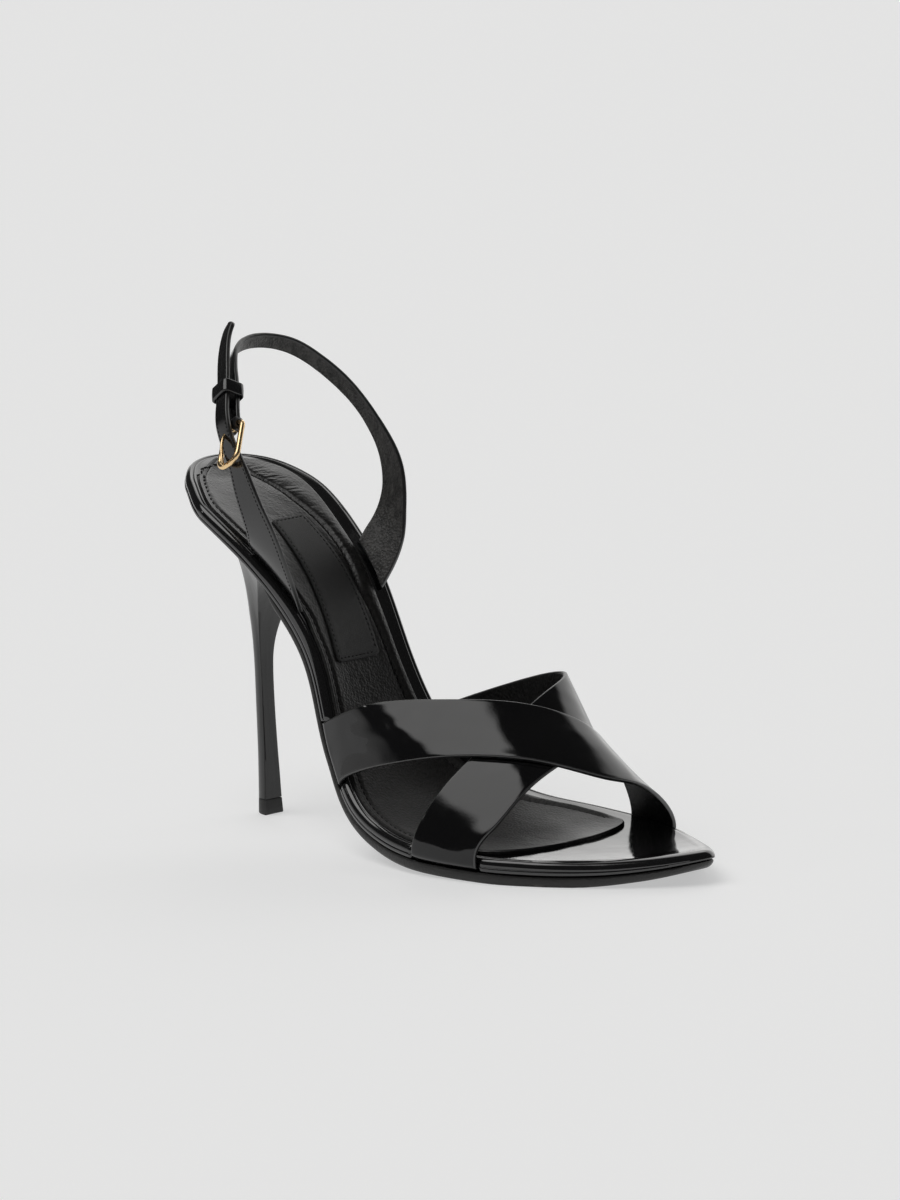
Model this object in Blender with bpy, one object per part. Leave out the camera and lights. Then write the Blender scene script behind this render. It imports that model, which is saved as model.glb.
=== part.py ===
"""High-heeled slingback sandal for the right foot, on a slim heel with a flat breast.

The shoe is modelled as it is put together on its last: a covered insole board that carries everything, a
leather outsole under it, a covered heel with its top piece, two bands that cross over the forefoot, a sling
that passes behind the ankle, and a buckled strap on the outer side that closes it.

Lengths are in millimetres while a shape is worked out, and turn into metres when its mesh is made. In the
frame of the last X runs forward from the back of the heel, Y points to the inner side of the foot (to the
left of a right shoe) and Z up from the floor. "Along" is measured on the footbed from the back of the heel,
and "depth" straight down through it.
"""
import math

import bmesh
import bpy
import numpy as np

MM = 0.001

# The middle of the shoe's own bounding box in the frame of the last; the shoe is moved there.
MIDDLE_X = 97.60
MIDDLE_Y = 0.40

# Footbed, seen from the side: how steeply it falls towards the toe.
FOOT_LENGTH = 240.0
HEEL_RIM_HEIGHT = 108.0
#          along  fall_deg
FOOTBED = ((0, 13.0), (25, 25.0), (49, 37.5), (74, 57.5), (99, 67.0), (123, 52.5), (143, 22.5),
           (160, 7.2), (178, 2.3), (202, 0.5), (240, -11.5))

# Footbed, seen from above: half of its width and the middle of it.
#          along  half_width  middle
OUTLINE = ((0, 0.0, 1.2), (5, 14.8, 1.2), (14, 22.4, 0.2), (30, 27.8, -2.6), (54, 25.4, -4.0),
           (89, 21.0, -2.7), (118, 25.2, -2.4), (146, 35.3, -0.5), (170, 41.0, 2.0), (190, 38.9, 3.9),
           (205, 33.0, 5.3), (219, 24.0, 7.2), (230, 14.6, 8.9), (236.5, 7.2, 10.2), (240, 0.0, 11.4))

# How far the padded footbed dips below its rim.
#      along  dip
DIP = ((0, 0.0), (2.3, 0.0), (16, 1.9), (40, 2.2), (90, 1.4), (150, 1.0), (190, 0.8), (225, 0.3),
       (237.7, 0.0), (240, 0.0))

# Layers of the bottom.
GAP = 0.3
INSOLE = 4.2
SOLE_FRONT = 3.45
SOLE_WAIST = 2.2
SOLE_START = 59.0
#             along  thickness
SOLE_WEIGHT = ((SOLE_START, SOLE_WAIST), (120, SOLE_WAIST), (165, SOLE_FRONT), (212, SOLE_FRONT), (229, 2.6),
               (240, 1.3))
# Towards the toe's tip the tread draws in, and the insole's lower half is skived for the sole to take its place.
#            along  draw
TOE_DRAW = ((SOLE_START, 0.0), (212, 0.0), (228, 0.6), (240, 1.2))
#             along  skive
TOE_SKIVE = ((0, 0.0), (218, 0.0), (232, 0.5), (240, 1.2))
SKIVE_FILL = 0.85

# Edge of the insole from its top to its underside, where it is plain and where a band tucks in under it.
#             inset  depth  pocket_inset  pocket_depth
INSOLE_EDGE = ((2.2, 0.0, 3.0, 0.0), (1.0, 0.35, 1.9, 0.35), (0.3, 1.1, 1.2, 0.85), (0.0, 2.1, 0.95, 1.3),
               (0.3, 3.1, 1.15, 1.75), (1.0, 3.85, 1.7, 2.1), (2.0, 4.2, 2.7, 2.2), (7.2, 4.2, 7.2, 2.2),
               (7.6, 4.2, 7.6, 4.2))
POCKET_REACH = 0.8
POCKET_RAMP = 0.4
FULL_INSET = (100.0, 215.0)
EDGE_LIMIT = 2.1

# Edge of the outsole, as inset and share of its thickness.
SOLE_EDGE = ((1.5, 0.0), (0.9, 0.12), (0.6, 0.45), (0.9, 0.8), (1.9, 1.0))

# Sock lining: a padded leather sheet on the footbed with rounded ends.
SOCK_START = 4.6
SOCK_END = 194.6
SOCK_HEEL_ROUND = 13.0
SOCK_TOE_ROUND = 9.5
SOCK_THICK = 0.8
#       along  outer_inset  inner_inset
SOCK = ((0, 4.0, 5.0), (20, 3.8, 6.4), (44, 4.2, 7.4), (80, 4.2, 7.6), (100, 3.2, 7.8), (140, 3.6, 8.5),
        (186, 4.8, 10.0))

# Bare patch on the sock lining.
#        along  middle
PATCH = ((39.0, -1.8), (91.0, -5.6))
PATCH_WIDTH = 15.5
PATCH_THICK = 0.35

# Heel: flat breast in front, half an ellipse behind.
#       height  breast_x  width  depth
HEEL = ((0.0, 31.7, 7.8, 5.6), (5.0, 31.4, 7.0, 5.5), (12.0, 31.0, 6.4, 5.3), (20.0, 30.4, 5.9, 5.0),
        (32.5, 29.5, 5.4, 4.8), (42.0, 29.0, 5.2, 4.8), (52.0, 28.6, 5.9, 4.9), (62.0, 28.4, 6.6, 5.2))
HEEL_MIDDLE = -3.8
TOP_PIECE = 4.7
FLARE_START = 47.0
SEAT_INSET = 1.6
SEAT_BREAST = 57.5
HEEL_LEVELS = 22
HEEL_POINTS = 15
BREAST_POINTS = 4

# Leather of the straps.
STRAP_THICK = 1.5
# A strap's skin from its rear edge across to its front edge, as share of the width and of the half thickness.
STRAP_SKIN = ((0.0, 0.4), (0.035, 0.9), (0.25, 1.0), (0.5, 1.0), (0.75, 1.0), (0.965, 0.9), (1.0, 0.4))
# Route of a band's end round the edge of the insole, from under it outwards.
#       inset  depth
TUCK = ((6.4, 3.3), (1.6, 3.3), (0.45, 2.75), (-0.2, 1.95))
RIM_INSET = -0.3
RIM_DEPTH = 1.2
RIM_LEAVE = 15.0
RIM_SPLAY = 0.12

# Crossed bands, each a strip between its rear edge and its front edge.
#            rear_x  rear_y  rear_z  front_x  front_y  front_z
BAND_OVER = ((92.0, -26.7, 45.9, 112.4, -30.2, 31.9), (113.3, -18.0, 48.9, 133.7, -23.5, 35.3),
             (131.4, -5.2, 48.7, 150.6, -11.4, 33.8), (141.9, 8.9, 43.6, 161.1, 4.5, 28.1),
             (143.5, 25.1, 30.9, 161.2, 22.2, 22.3))
BAND_UNDER = ((127.8, -32.1, 26.0, 149.0, -31.2, 17.7), (133.2, -15.3, 39.5, 151.3, -18.5, 27.9),
              (133.5, 5.0, 49.4, 150.9, 1.3, 34.1), (128.1, 21.7, 52.5, 142.8, 20.4, 33.7),
              (109.8, 27.9, 49.0, 123.1, 31.2, 27.4))
# Where their edges leave the rim.
#                side      rear_along  front_along
OVER_ENDS = (("outer", 108.0, 127.0), ("inner", 181.0, 201.0))
UNDER_ENDS = (("outer", 167.0, 189.0), ("inner", 111.0, 136.0))
BAND_STEPS = 31
# The upper band is glued down on the lower one where they cross.
GLUE = 0.55
GLUE_SPAN = (1.6, 4.4)

# Feet of the sling and of the buckled strap on the footbed.
#              side     rear_along  front_along  inset  depth
SLING_FOOT = ("inner", 54.4, 71.8, 4.5, -0.5)
BILLET_FOOT = ("outer", 51.3, 74.5, 2.9, -0.5)
SETTLE_REACH = 14.0

# Sling, from its foot on the inner side to the middle of its arc behind the ankle; the outer leg mirrors it.
#        rear_x  rear_y  rear_z  front_x  front_y  front_z
SLING = ((48.3, 16.5, 84.5, 59.5, 14.3, 71.5), (48.3, 19.6, 87.9, 61.5, 18.6, 79.0),
         (48.4, 22.8, 91.0, 61.5, 22.6, 86.6), (48.9, 24.9, 94.6, 60.1, 24.9, 94.0),
         (48.9, 26.9, 100.7, 58.0, 26.9, 102.8), (47.0, 27.7, 109.2, 54.3, 27.7, 111.6),
         (43.7, 26.6, 117.2, 48.9, 26.6, 119.9), (39.6, 24.0, 124.6, 44.0, 24.0, 127.6),
         (35.1, 20.0, 131.1, 39.6, 20.0, 134.6), (29.8, 14.7, 137.3, 33.6, 14.7, 141.3),
         (25.6, 9.6, 141.2, 28.9, 9.6, 145.6), (22.6, 3.4, 143.3, 25.5, 3.4, 147.7))
SLING_MIDDLE = -3.6
SLING_APEX = (21.5, -3.4, 143.9, 24.3, -3.4, 148.4)
SLING_OUTER_ROWS = 4
SLING_STEPS = 46

# Buckled strap on the outer side, from its foot up through the buckle to its free end.
#         rear_x  rear_y  rear_z  front_x  front_y  front_z
BILLET = ((45.9, -27.0, 86.5, 61.2, -23.9, 68.9), (46.5, -29.4, 89.2, 62.4, -27.5, 77.5),
          (48.0, -31.8, 92.0, 61.9, -31.0, 87.0), (49.0, -33.7, 95.0, 60.5, -33.6, 95.0),
          (49.0, -36.2, 101.0, 58.2, -36.2, 103.0), (47.4, -37.2, 107.4, 55.4, -37.2, 109.8),
          (45.6, -37.0, 112.6, 52.0, -37.0, 115.2), (42.8, -37.0, 118.6, 47.9, -37.0, 121.4),
          (39.0, -35.9, 125.4, 43.9, -35.9, 128.2), (33.5, -29.6, 133.6, 37.7, -29.6, 137.2),
          (26.2, -21.4, 143.6, 30.0, -21.4, 147.8), (23.4, -16.6, 149.4, 26.9, -16.6, 152.6),
          (23.2, -14.8, 151.6, 25.4, -14.8, 153.6), (23.5, -14.4, 152.4, 24.6, -14.4, 153.4))
BILLET_STEPS = 38

# Buckle on the outer leg: its bar, and the directions along the strap and across it.
BAR = (42.4, -32.1, 125.5)
STRAP_UP = (-0.463, 0.421, 0.779)
STRAP_FORWARD = (0.863, 0.0, 0.504)
FRAME_ACROSS = 8.6
FRAME_ALONG = 14.2
FRAME_CORNER = 3.4
FRAME_LIFT = 3.3
FRAME_RADIUS = 0.85
EYE_INNER = 1.25
EYE_OUTER = 2.35
EYE_WIDTH = 5.2
EYE_SLOT = 2.1
PRONG_WIDTH = 1.4
PRONG_RADIUS = 0.55
#        down  outward
PRONG = ((0.9, 1.3), (2.8, 2.7), (5.2, 4.4), (9.5, 5.4), (15.3, 5.1))
PRONG_HOLE_DOWN = 3.9
PRONG_HOLE_OUTWARD = 3.2
PRONG_HOLE_SIZE = (2.0, 3.8, 5.0)

# Keeper round the outer leg and the free end.
KEEPER = (36.6, -26.7, 133.8)
KEEPER_UP = (-0.50, 0.52, 0.69)
KEEPER_FORWARD = (0.74, 0.0, 0.67)
KEEPER_OUTWARD = 1.7
KEEPER_HALF_WIDTH = 3.5
KEEPER_HALF_DEPTH = 3.1
KEEPER_WALL = 0.7
KEEPER_HEIGHT = 4.6

#            red    green  blue   roughness  metallic
FINISHES = {
    "patent_black": (0.010, 0.010, 0.011, 0.12, 0.0),
    "strap_black": (0.014, 0.013, 0.013, 0.30, 0.0),
    "heel_black": (0.016, 0.016, 0.016, 0.28, 0.0),
    "sock_black": (0.026, 0.025, 0.024, 0.50, 0.0),
    "sole_black": (0.014, 0.013, 0.013, 0.35, 0.0),
    "rubber_black": (0.012, 0.012, 0.012, 0.55, 0.0),
    "patch_black": (0.008, 0.008, 0.008, 0.45, 0.0),
    "gold": (0.93, 0.62, 0.30, 0.22, 1.0),
}


def columns(table):
    """Columns of a table as arrays."""
    return [np.array(column, float) for column in zip(*table)]


def end_slope(step, next_step, rise, next_rise):
    """Slope at the end of a monotone curve."""
    slope = ((2 * step + next_step) * rise - step * next_rise) / (step + next_step)
    if slope * rise <= 0:
        return 0.0
    if rise * next_rise <= 0 and abs(slope) > 3 * abs(rise):
        return 3 * rise
    return slope


def smooth(keys, values, at):
    """Smooth curve through table values that never overshoots them."""
    step = np.diff(keys)
    rise = np.diff(values) / step
    slope = np.zeros(len(keys))
    slope[0] = end_slope(step[0], step[1], rise[0], rise[1])
    slope[-1] = end_slope(step[-1], step[-2], rise[-1], rise[-2])
    for i in range(1, len(keys) - 1):
        if rise[i - 1] * rise[i] > 0:
            before = 2 * step[i] + step[i - 1]
            after = step[i] + 2 * step[i - 1]
            slope[i] = (before + after) / (before / rise[i - 1] + after / rise[i])
    return hermite(keys, values[:, None], slope[:, None], at)[..., 0]


def hermite(keys, points, slopes, at):
    """Cubic pieces with given points and slopes at the keys."""
    at = np.clip(np.asarray(at, float), keys[0], keys[-1])
    cell = np.clip(np.searchsorted(keys, at, side="right") - 1, 0, len(keys) - 2)
    step = (keys[cell + 1] - keys[cell])[..., None]
    t = (at - keys[cell])[..., None] / step
    start = (1 + 2 * t) * (1 - t) ** 2 * points[cell] + t * (1 - t) ** 2 * step * slopes[cell]
    return start + t * t * (3 - 2 * t) * points[cell + 1] + t * t * (t - 1) * step * slopes[cell + 1]


def through(keys, points, at, first=None, last=None):
    """Curve of even bend through points; first and last fix how it leaves its ends."""
    count = len(keys)
    step = np.diff(keys)
    system = np.zeros((count, count))
    known = np.zeros(points.shape)
    for i in range(1, count - 1):
        system[i, i - 1] = 1 / step[i - 1]
        system[i, i] = 2 / step[i - 1] + 2 / step[i]
        system[i, i + 1] = 1 / step[i]
        rise_before = (points[i] - points[i - 1]) / step[i - 1] ** 2
        rise_after = (points[i + 1] - points[i]) / step[i] ** 2
        known[i] = 3 * (rise_before + rise_after)
    for end, near, given in ((0, 1, first), (count - 1, count - 2, last)):
        system[end, end] = 2.0
        system[end, near] = 1.0
        known[end] = 3 * (points[near] - points[end]) / (keys[near] - keys[end])
        if given is not None:
            system[end, near] = 0.0
            known[end] = 2 * np.array(given)
    return hermite(keys, points, np.linalg.solve(system, known), at)


def footbed_path():
    """The footbed's side view as arrays: along, x, z and fall in radians."""
    keys, falls = columns(FOOTBED)
    along = np.linspace(0, FOOT_LENGTH, 961)
    fall = np.radians(smooth(keys, falls, along))
    step = along[1]
    x = np.concatenate([[0], np.cumsum((np.cos(fall[1:]) + np.cos(fall[:-1])) * step / 2)])
    z = np.concatenate([[0], np.cumsum((np.sin(fall[1:]) + np.sin(fall[:-1])) * step / 2)])
    return along, x, HEEL_RIM_HEIGHT - z, fall


PATH_ALONG, PATH_X, PATH_Z, PATH_FALL = footbed_path()


def fall_at(along):
    return np.interp(along, PATH_ALONG, PATH_FALL)


def place(along, y, depth):
    """Point of the last's frame at a station of the footbed, a given depth below it."""
    fall = fall_at(along)
    x = np.interp(along, PATH_ALONG, PATH_X) - np.sin(fall) * depth
    z = np.interp(along, PATH_ALONG, PATH_Z) - np.cos(fall) * depth
    return np.stack([x, np.broadcast_to(y, np.shape(x)), z], -1)


def edge_y(side, along):
    """Where the outline lies at a station, on the outer or the inner side."""
    keys, half, middle = columns(OUTLINE)
    half_width = np.sqrt(np.maximum(smooth(keys, half ** 2, along), 0))
    sign = 1 if side == "inner" else -1
    return smooth(keys, middle, along) + sign * half_width


def inset_edge(side, stations, inset):
    """The outline moved inwards, as arrays of along and y."""
    y = edge_y(side, stations)
    tangent = np.gradient(np.stack([stations, y], -1), axis=0, edge_order=1)
    sign = -1 if side == "inner" else 1
    if stations[0] <= 0:
        tangent[0] = (0.0, -sign)
    if stations[-1] >= FOOT_LENGTH:
        tangent[-1] = (0.0, sign)
    tangent /= np.linalg.norm(tangent, axis=1)[:, None]
    along = stations - sign * tangent[:, 1] * inset
    return along, y + sign * tangent[:, 0] * inset


def end_spaced(start, end, count, extra=()):
    """Stations that crowd towards the ends, together with some given ones."""
    turn = np.linspace(0, math.pi, count)
    even = start + (end - start) * (1 - np.cos(turn)) / 2
    kept = [s for s in even if all(abs(s - other) > 0.35 for other in extra)]
    return np.array(sorted(kept + list(extra)))


def start_spaced(start, end, count, extra=()):
    """Stations that crowd towards the toe only."""
    turn = np.linspace(0, math.pi / 2, count)
    even = start + (end - start) * np.sin(turn)
    return np.array([s for s in even if all(abs(s - other) > 0.35 for other in extra)] + list(extra))


def make_object(name, vertices, faces, finish, parent, crease_deg=35):
    """Mesh object from millimetre vertices, with its faces turned outwards."""
    mesh = bpy.data.meshes.new(name)
    mesh.from_pydata([tuple(v) for v in np.asarray(vertices) * MM], [], faces)
    work = bmesh.new()
    work.from_mesh(mesh)
    bmesh.ops.recalc_face_normals(work, faces=work.faces)
    work.to_mesh(mesh)
    work.free()
    mesh.shade_smooth()
    mesh.set_sharp_from_angle(angle=math.radians(crease_deg))
    thing = bpy.data.objects.new(name, mesh)
    thing.parent = parent
    bpy.context.scene.collection.objects.link(thing)
    mesh.materials.append(finish)
    return thing


def loft(rings, closed_path=False):
    """Vertices and faces of a skin over rings with equal point counts, capped unless its path is closed."""
    count, size = rings.shape[:2]
    faces = []
    for i in range(count if closed_path else count - 1):
        here = i * size
        there = (i + 1) % count * size
        for j in range(size):
            k = (j + 1) % size
            faces.append((here + j, here + k, there + k, there + j))
    if not closed_path:
        faces.append(tuple(range(size)))
        faces.append(tuple(range((count - 1) * size, count * size))[::-1])
    return rings.reshape(-1, 3), faces


def skin(grids):
    """Vertices and faces of a closed skin from grids of points that meet along their borders."""
    vertices, number, faces = [], {}, []
    for grid in grids:
        grid = np.asarray(grid)
        index = np.zeros(grid.shape[:2], int)
        for i, row in enumerate(grid):
            for j, point in enumerate(row):
                key = tuple(np.round(point, 4) + 0.0)
                if key not in number:
                    number[key] = len(vertices)
                    vertices.append(point)
                index[i, j] = number[key]
        for i in range(len(index) - 1):
            for j in range(len(index[0]) - 1):
                corners = (index[i, j], index[i, j + 1], index[i + 1, j + 1], index[i + 1, j])
                face = tuple(int(c) for c in dict.fromkeys(corners))
                if len(face) > 2:
                    faces.append(face)
    return vertices, faces


def layer(outer, inner, top):
    """Closed layer of the bottom from its edge levels on both sides and the rows of its top."""
    outer, inner = np.array(outer), np.array(inner)
    bottom = np.stack([outer[-1], inner[-1]], axis=1)
    start = np.stack([outer[:, 0], inner[:, 0]], axis=1)
    end = np.stack([outer[:, -1], inner[:, -1]], axis=1)
    return skin([top, outer, inner, bottom, start, end])


def sheet(top, bottom):
    """Closed sheet between two sets of rows of points."""
    top, bottom = np.array(top), np.array(bottom)
    sides = [np.stack([top[:, k], bottom[:, k]]) for k in (0, -1)]
    ends = [np.stack([top[k], bottom[k]]) for k in (0, -1)]
    return skin([top, bottom, *sides, *ends])


def pocket_share(side, along):
    """1 where a band tucks in under this side's edge, 0 elsewhere."""
    share = np.zeros(np.shape(along))
    for ends in (OVER_ENDS, UNDER_ENDS):
        for band_side, rear, front in ends:
            if band_side == side:
                inside = np.minimum(along - (rear - POCKET_REACH), (front + POCKET_REACH) - along)
                share = np.maximum(share, np.clip(1 + inside / POCKET_RAMP, 0, 1))
    return share


def pocket_stations():
    """Stations where the pockets' walls begin and end."""
    found = []
    for ends in (OVER_ENDS, UNDER_ENDS):
        for _, rear, front in ends:
            found += [rear - POCKET_REACH - POCKET_RAMP, rear - POCKET_REACH]
            found += [front + POCKET_REACH, front + POCKET_REACH + POCKET_RAMP]
    return found


def dip_at(along):
    keys, dips = columns(DIP)
    return smooth(keys, dips, along)


def footbed_rows(outer, inner, depth, across):
    """Rows of points over the dipped footbed between two edges given as along and y."""
    rows = []
    for outer_point, inner_point in zip(np.stack(outer, -1), np.stack(inner, -1)):
        share = np.linspace(0, 1, across)[:, None]
        flat = outer_point * (1 - share) + inner_point * share
        along, y = flat[:, 0], flat[:, 1]
        outer_y, inner_y = edge_y("outer", along), edge_y("inner", along)
        width = np.maximum(inner_y - outer_y - 2 * INSOLE_EDGE[0][0], 0.01)
        from_edge = np.clip(2 * (y - outer_y - INSOLE_EDGE[0][0]) / width - 1, -1, 1)
        dip = dip_at(along) * (1 - np.abs(from_edge) ** 2.5)
        rows.append(place(along, y, depth + dip))
    return rows


def toe_skive(stations):
    return smooth(*columns(TOE_SKIVE), stations)


def make_insole(finish, parent):
    """Covered board with a rounded edge, a dipped top, and pockets under the edge for the bands' ends."""
    stations = end_spaced(0, FOOT_LENGTH, 38, pocket_stations())
    inside = np.clip(np.minimum(stations - FULL_INSET[0], FULL_INSET[1] - stations) / 8 + 1, 0, 1)
    skive = toe_skive(stations)
    levels = {}
    for side in ("outer", "inner"):
        share = pocket_share(side, stations)
        levels[side] = []
        for inset, depth, pocket_inset, pocket_depth in INSOLE_EDGE:
            plain = np.where(inset > EDGE_LIMIT, inset * inside + (2 + inset / 12) * (1 - inside), inset)
            plain = plain if depth > 0 else np.full(len(stations), inset)
            along, y = inset_edge(side, stations, plain * (1 - share) + pocket_inset * share)
            skived = depth - skive * max(0.0, depth - INSOLE / 2) / (INSOLE / 2)
            levels[side].append((along, y, skived * (1 - share) + pocket_depth * share))
    points = {side: [place(a, y, d) for a, y, d in levels[side]] for side in levels}
    rows = footbed_rows(levels["outer"][0][:2], levels["inner"][0][:2], 0.0, 7)
    for i, row in enumerate(rows):
        row[0], row[-1] = points["outer"][0][i], points["inner"][0][i]
    return make_object("insole", *layer(points["outer"], points["inner"], rows), finish, parent)


def make_outsole(finish, parent):
    """Thin leather sole from the heel breast to the toe, flat where it treads."""
    stations = start_spaced(SOLE_START, FOOT_LENGTH, 40)
    keys, weights = columns(SOLE_WEIGHT)
    skive = toe_skive(stations)
    draw = smooth(*columns(TOE_DRAW), stations)
    points = {}
    for side in ("outer", "inner"):
        points[side] = []
        for inset, share in SOLE_EDGE:
            along, y = inset_edge(side, stations, inset + draw * share ** 2)
            along[0] = SOLE_START
            thickness = smooth(keys, weights, along) + SKIVE_FILL * skive
            level = place(along, y, INSOLE + GAP - skive + share * thickness)
            level[:, 2] = np.maximum(level[:, 2], 0.9 * (1 - share) if share < 1 else 0.0)
            points[side].append(level)
    rows = [np.stack([outer, inner]) for outer, inner in zip(points["outer"][0], points["inner"][0])]
    return make_object("outsole", *layer(points["outer"], points["inner"], rows), finish, parent)


def sock_edges(stations):
    """Both edges of the sock lining, rounded off at its ends."""
    keys, outer_inset, inner_inset = columns(SOCK)
    outer = edge_y("outer", stations) + smooth(keys, outer_inset, stations)
    inner = edge_y("inner", stations) - smooth(keys, inner_inset, stations)
    heel = np.clip((SOCK_START + SOCK_HEEL_ROUND - stations) / SOCK_HEEL_ROUND, 0, 1)
    toe = np.clip((stations - SOCK_END + SOCK_TOE_ROUND) / SOCK_TOE_ROUND, 0, 1)
    closing = np.sqrt(np.maximum(1 - heel ** 2.2, 0)) * np.sqrt(np.maximum(1 - toe ** 2.4, 0))
    middle, half = (outer + inner) / 2, (inner - outer) / 2 * closing
    return (stations, middle - half), (stations, middle + half)


def make_sock(finish, parent):
    stations = end_spaced(SOCK_START, SOCK_END, 30)
    outer, inner = sock_edges(stations)
    top = footbed_rows(outer, inner, -(GAP + SOCK_THICK), 9)
    bottom = footbed_rows(outer, inner, -GAP, 9)
    return make_object("sock_lining", *sheet(top, bottom), finish, parent)


def make_patch(finish, parent):
    """Bare rectangular patch lying on the sock lining."""
    (start, start_y), (end, end_y) = PATCH
    share = np.linspace(0, 1, 14)
    stations = start + (end - start) * share
    middle = start_y + (end_y - start_y) * share
    outer, inner = (stations, middle - PATCH_WIDTH / 2), (stations, middle + PATCH_WIDTH / 2)
    level = -(2 * GAP + SOCK_THICK)
    top = np.array(footbed_rows(outer, inner, level - PATCH_THICK, 5))
    bottom = np.array(footbed_rows(outer, inner, level, 5))
    rings = np.concatenate([top, bottom[:, ::-1]], axis=1)
    return make_object("label_patch", *loft(rings), finish, parent)


def heel_ring(height):
    """The heel's plain column at a height: half an ellipse behind a flat breast."""
    keys, breast, width, depth = columns(HEEL)
    x, w, d = (smooth(keys, column, height) for column in (breast, width, depth))
    turn = np.linspace(0, math.pi, HEEL_POINTS)
    back = np.stack([x - d * np.sin(turn), HEEL_MIDDLE - w / 2 * np.cos(turn)], -1)
    share = np.linspace(1, 0, BREAST_POINTS + 2)[1:-1, None]
    front = back[:1] * (1 - share) + back[-1:] * share
    return np.concatenate([back, front])


def seat_ring():
    """Where the heel meets the underside of the insole."""
    turn = np.linspace(0, math.pi, HEEL_POINTS)
    along = SEAT_BREAST - (SEAT_BREAST - SEAT_INSET) * np.sin(turn)
    grid = end_spaced(0, FOOT_LENGTH, 400)
    ys = []
    for side in ("outer", "inner"):
        edge_along, y = inset_edge(side, grid, SEAT_INSET)
        ys.append(np.interp(along, edge_along, y))
    y = np.where(turn < math.pi / 2, ys[0], ys[1])
    y[HEEL_POINTS // 2] = (ys[0][HEEL_POINTS // 2] + ys[1][HEEL_POINTS // 2]) / 2
    back = place(along, y, INSOLE + GAP)
    share = np.linspace(1, 0, BREAST_POINTS + 2)[1:-1, None]
    return np.concatenate([back, back[:1] * (1 - share) + back[-1:] * share])


def make_heel(finish, parent):
    """Slim heel that flares like a trumpet into the seat."""
    seat = seat_ring()
    bottom = TOP_PIECE + GAP
    rings = []
    for share in np.linspace(0, 1, HEEL_LEVELS) ** 0.8:
        height = bottom + (seat[:, 2] - bottom) * share
        ring = np.zeros((len(seat), 3))
        for j, z in enumerate(height):
            column = heel_ring(np.array(z))[j]
            rise = np.clip((z - FLARE_START) / (seat[j, 2] - FLARE_START), 0, 1)
            flare = 1 - math.sqrt(1 - rise ** 2)
            ring[j, :2] = column + (seat[j, :2] - column) * flare
            ring[j, 2] = z
        rings.append(ring)
    return make_object("heel", *loft(np.array(rings)), finish, parent)


def make_top_piece(finish, parent):
    """Hard-wearing piece under the heel."""
    rings = []
    for height in (0.0, TOP_PIECE):
        ring = heel_ring(np.array(height))
        rings.append(np.column_stack([ring, np.full(len(ring), height)]))
    return make_object("heel_top_piece", *loft(np.array(rings)), finish, parent)


def ruled(rear, front):
    """Rows of points straight across between two edges."""
    share = columns(STRAP_SKIN)[0][:, None]
    return np.asarray(rear)[:, None] * (1 - share) + np.asarray(front)[:, None] * share


def settle(rows, first=None, last=None):
    """Bends the ends of a strap's rows onto given rows, less and less over a short reach."""
    middle = rows[:, len(STRAP_SKIN) // 2]
    run = np.concatenate([[0], np.cumsum(np.linalg.norm(np.diff(middle, axis=0), axis=1))])
    settled = rows.copy()
    for given, index, distance in ((first, 0, run), (last, -1, run[-1] - run)):
        if given is not None:
            fade = np.clip(1 - distance / SETTLE_REACH, 0, 1) ** 2
            settled += fade[:, None, None] * (given - rows[index])
    return settled


def strap(rows, glue=None):
    """Strap round its middle surface; glue adds thickness under each row."""
    share, thick = columns(STRAP_SKIN)
    normal = np.cross(np.gradient(rows, share, axis=1), np.gradient(rows, axis=0))
    normal /= np.linalg.norm(normal, axis=2)[..., None]
    half = STRAP_THICK / 2 * thick[:, None]
    below = np.zeros(len(rows)) if glue is None else glue
    inner = np.where((share > 0) & (share < 1), 1.0, 0.0)
    return sheet(rows + normal * half, rows - normal * (half + below[:, None, None] * inner[:, None]))


def rim_point(side, along, inset, depth):
    """Point at an inset from the outline, square to it, and a depth below the rim."""
    along = np.asarray(along, float)
    sign = -1 if side == "inner" else 1
    slope = (edge_y(side, along + 0.5) - edge_y(side, along - 0.5)) / 1.0
    length = np.hypot(1, slope)
    return place(along - sign * slope / length * inset, edge_y(side, along) + sign * inset / length, depth)


def rim_row(side, rear, front, inset, depth):
    """Row of a strap that follows the rim."""
    return rim_point(side, rear + (front - rear) * columns(STRAP_SKIN)[0], inset, depth)


def leave_rim(side, along):
    """Direction in which a band rises from the rim."""
    fall = fall_at(along)
    splay = RIM_SPLAY if side == "inner" else -RIM_SPLAY
    return RIM_LEAVE * np.array([math.sin(fall), splay, math.cos(fall)])


def band_edge(rows, start, end):
    """Free length of one edge of a band; start and end are (side, along)."""
    points = [rim_point(*start, RIM_INSET, RIM_DEPTH), *rows, rim_point(*end, RIM_INSET, RIM_DEPTH)]
    keys = np.arange(len(points), dtype=float)
    at = np.linspace(0, keys[-1], BAND_STEPS)
    return through(keys, np.array(points), at, leave_rim(*start), -leave_rim(*end))


def make_band(name, table, ends, glue, finish, parent):
    """Band from under one edge of the insole, over the foot, to under the other edge."""
    table = np.array(table, float)
    start, end = ends
    rear_edge = band_edge(table[:, :3], start[:2], end[:2])
    front_edge = band_edge(table[:, 3:], start[::2], end[::2])
    first, last = (rim_row(*side, RIM_INSET, RIM_DEPTH) for side in ends)
    free = settle(ruled(rear_edge, front_edge), first, last)
    before = [rim_row(*start, *step) for step in TUCK]
    after = [rim_row(*end, *step) for step in TUCK[::-1]]
    at = np.linspace(0, len(table) + 1, BAND_STEPS)
    ramp = np.minimum(at - GLUE_SPAN[0], GLUE_SPAN[1] - at)
    tucked = np.zeros(len(TUCK))
    under = np.concatenate([tucked, glue * np.clip(ramp / 0.5, 0, 1), tucked])
    return make_object(name, *strap(np.concatenate([before, free, after]), under), finish, parent, 50)


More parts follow.
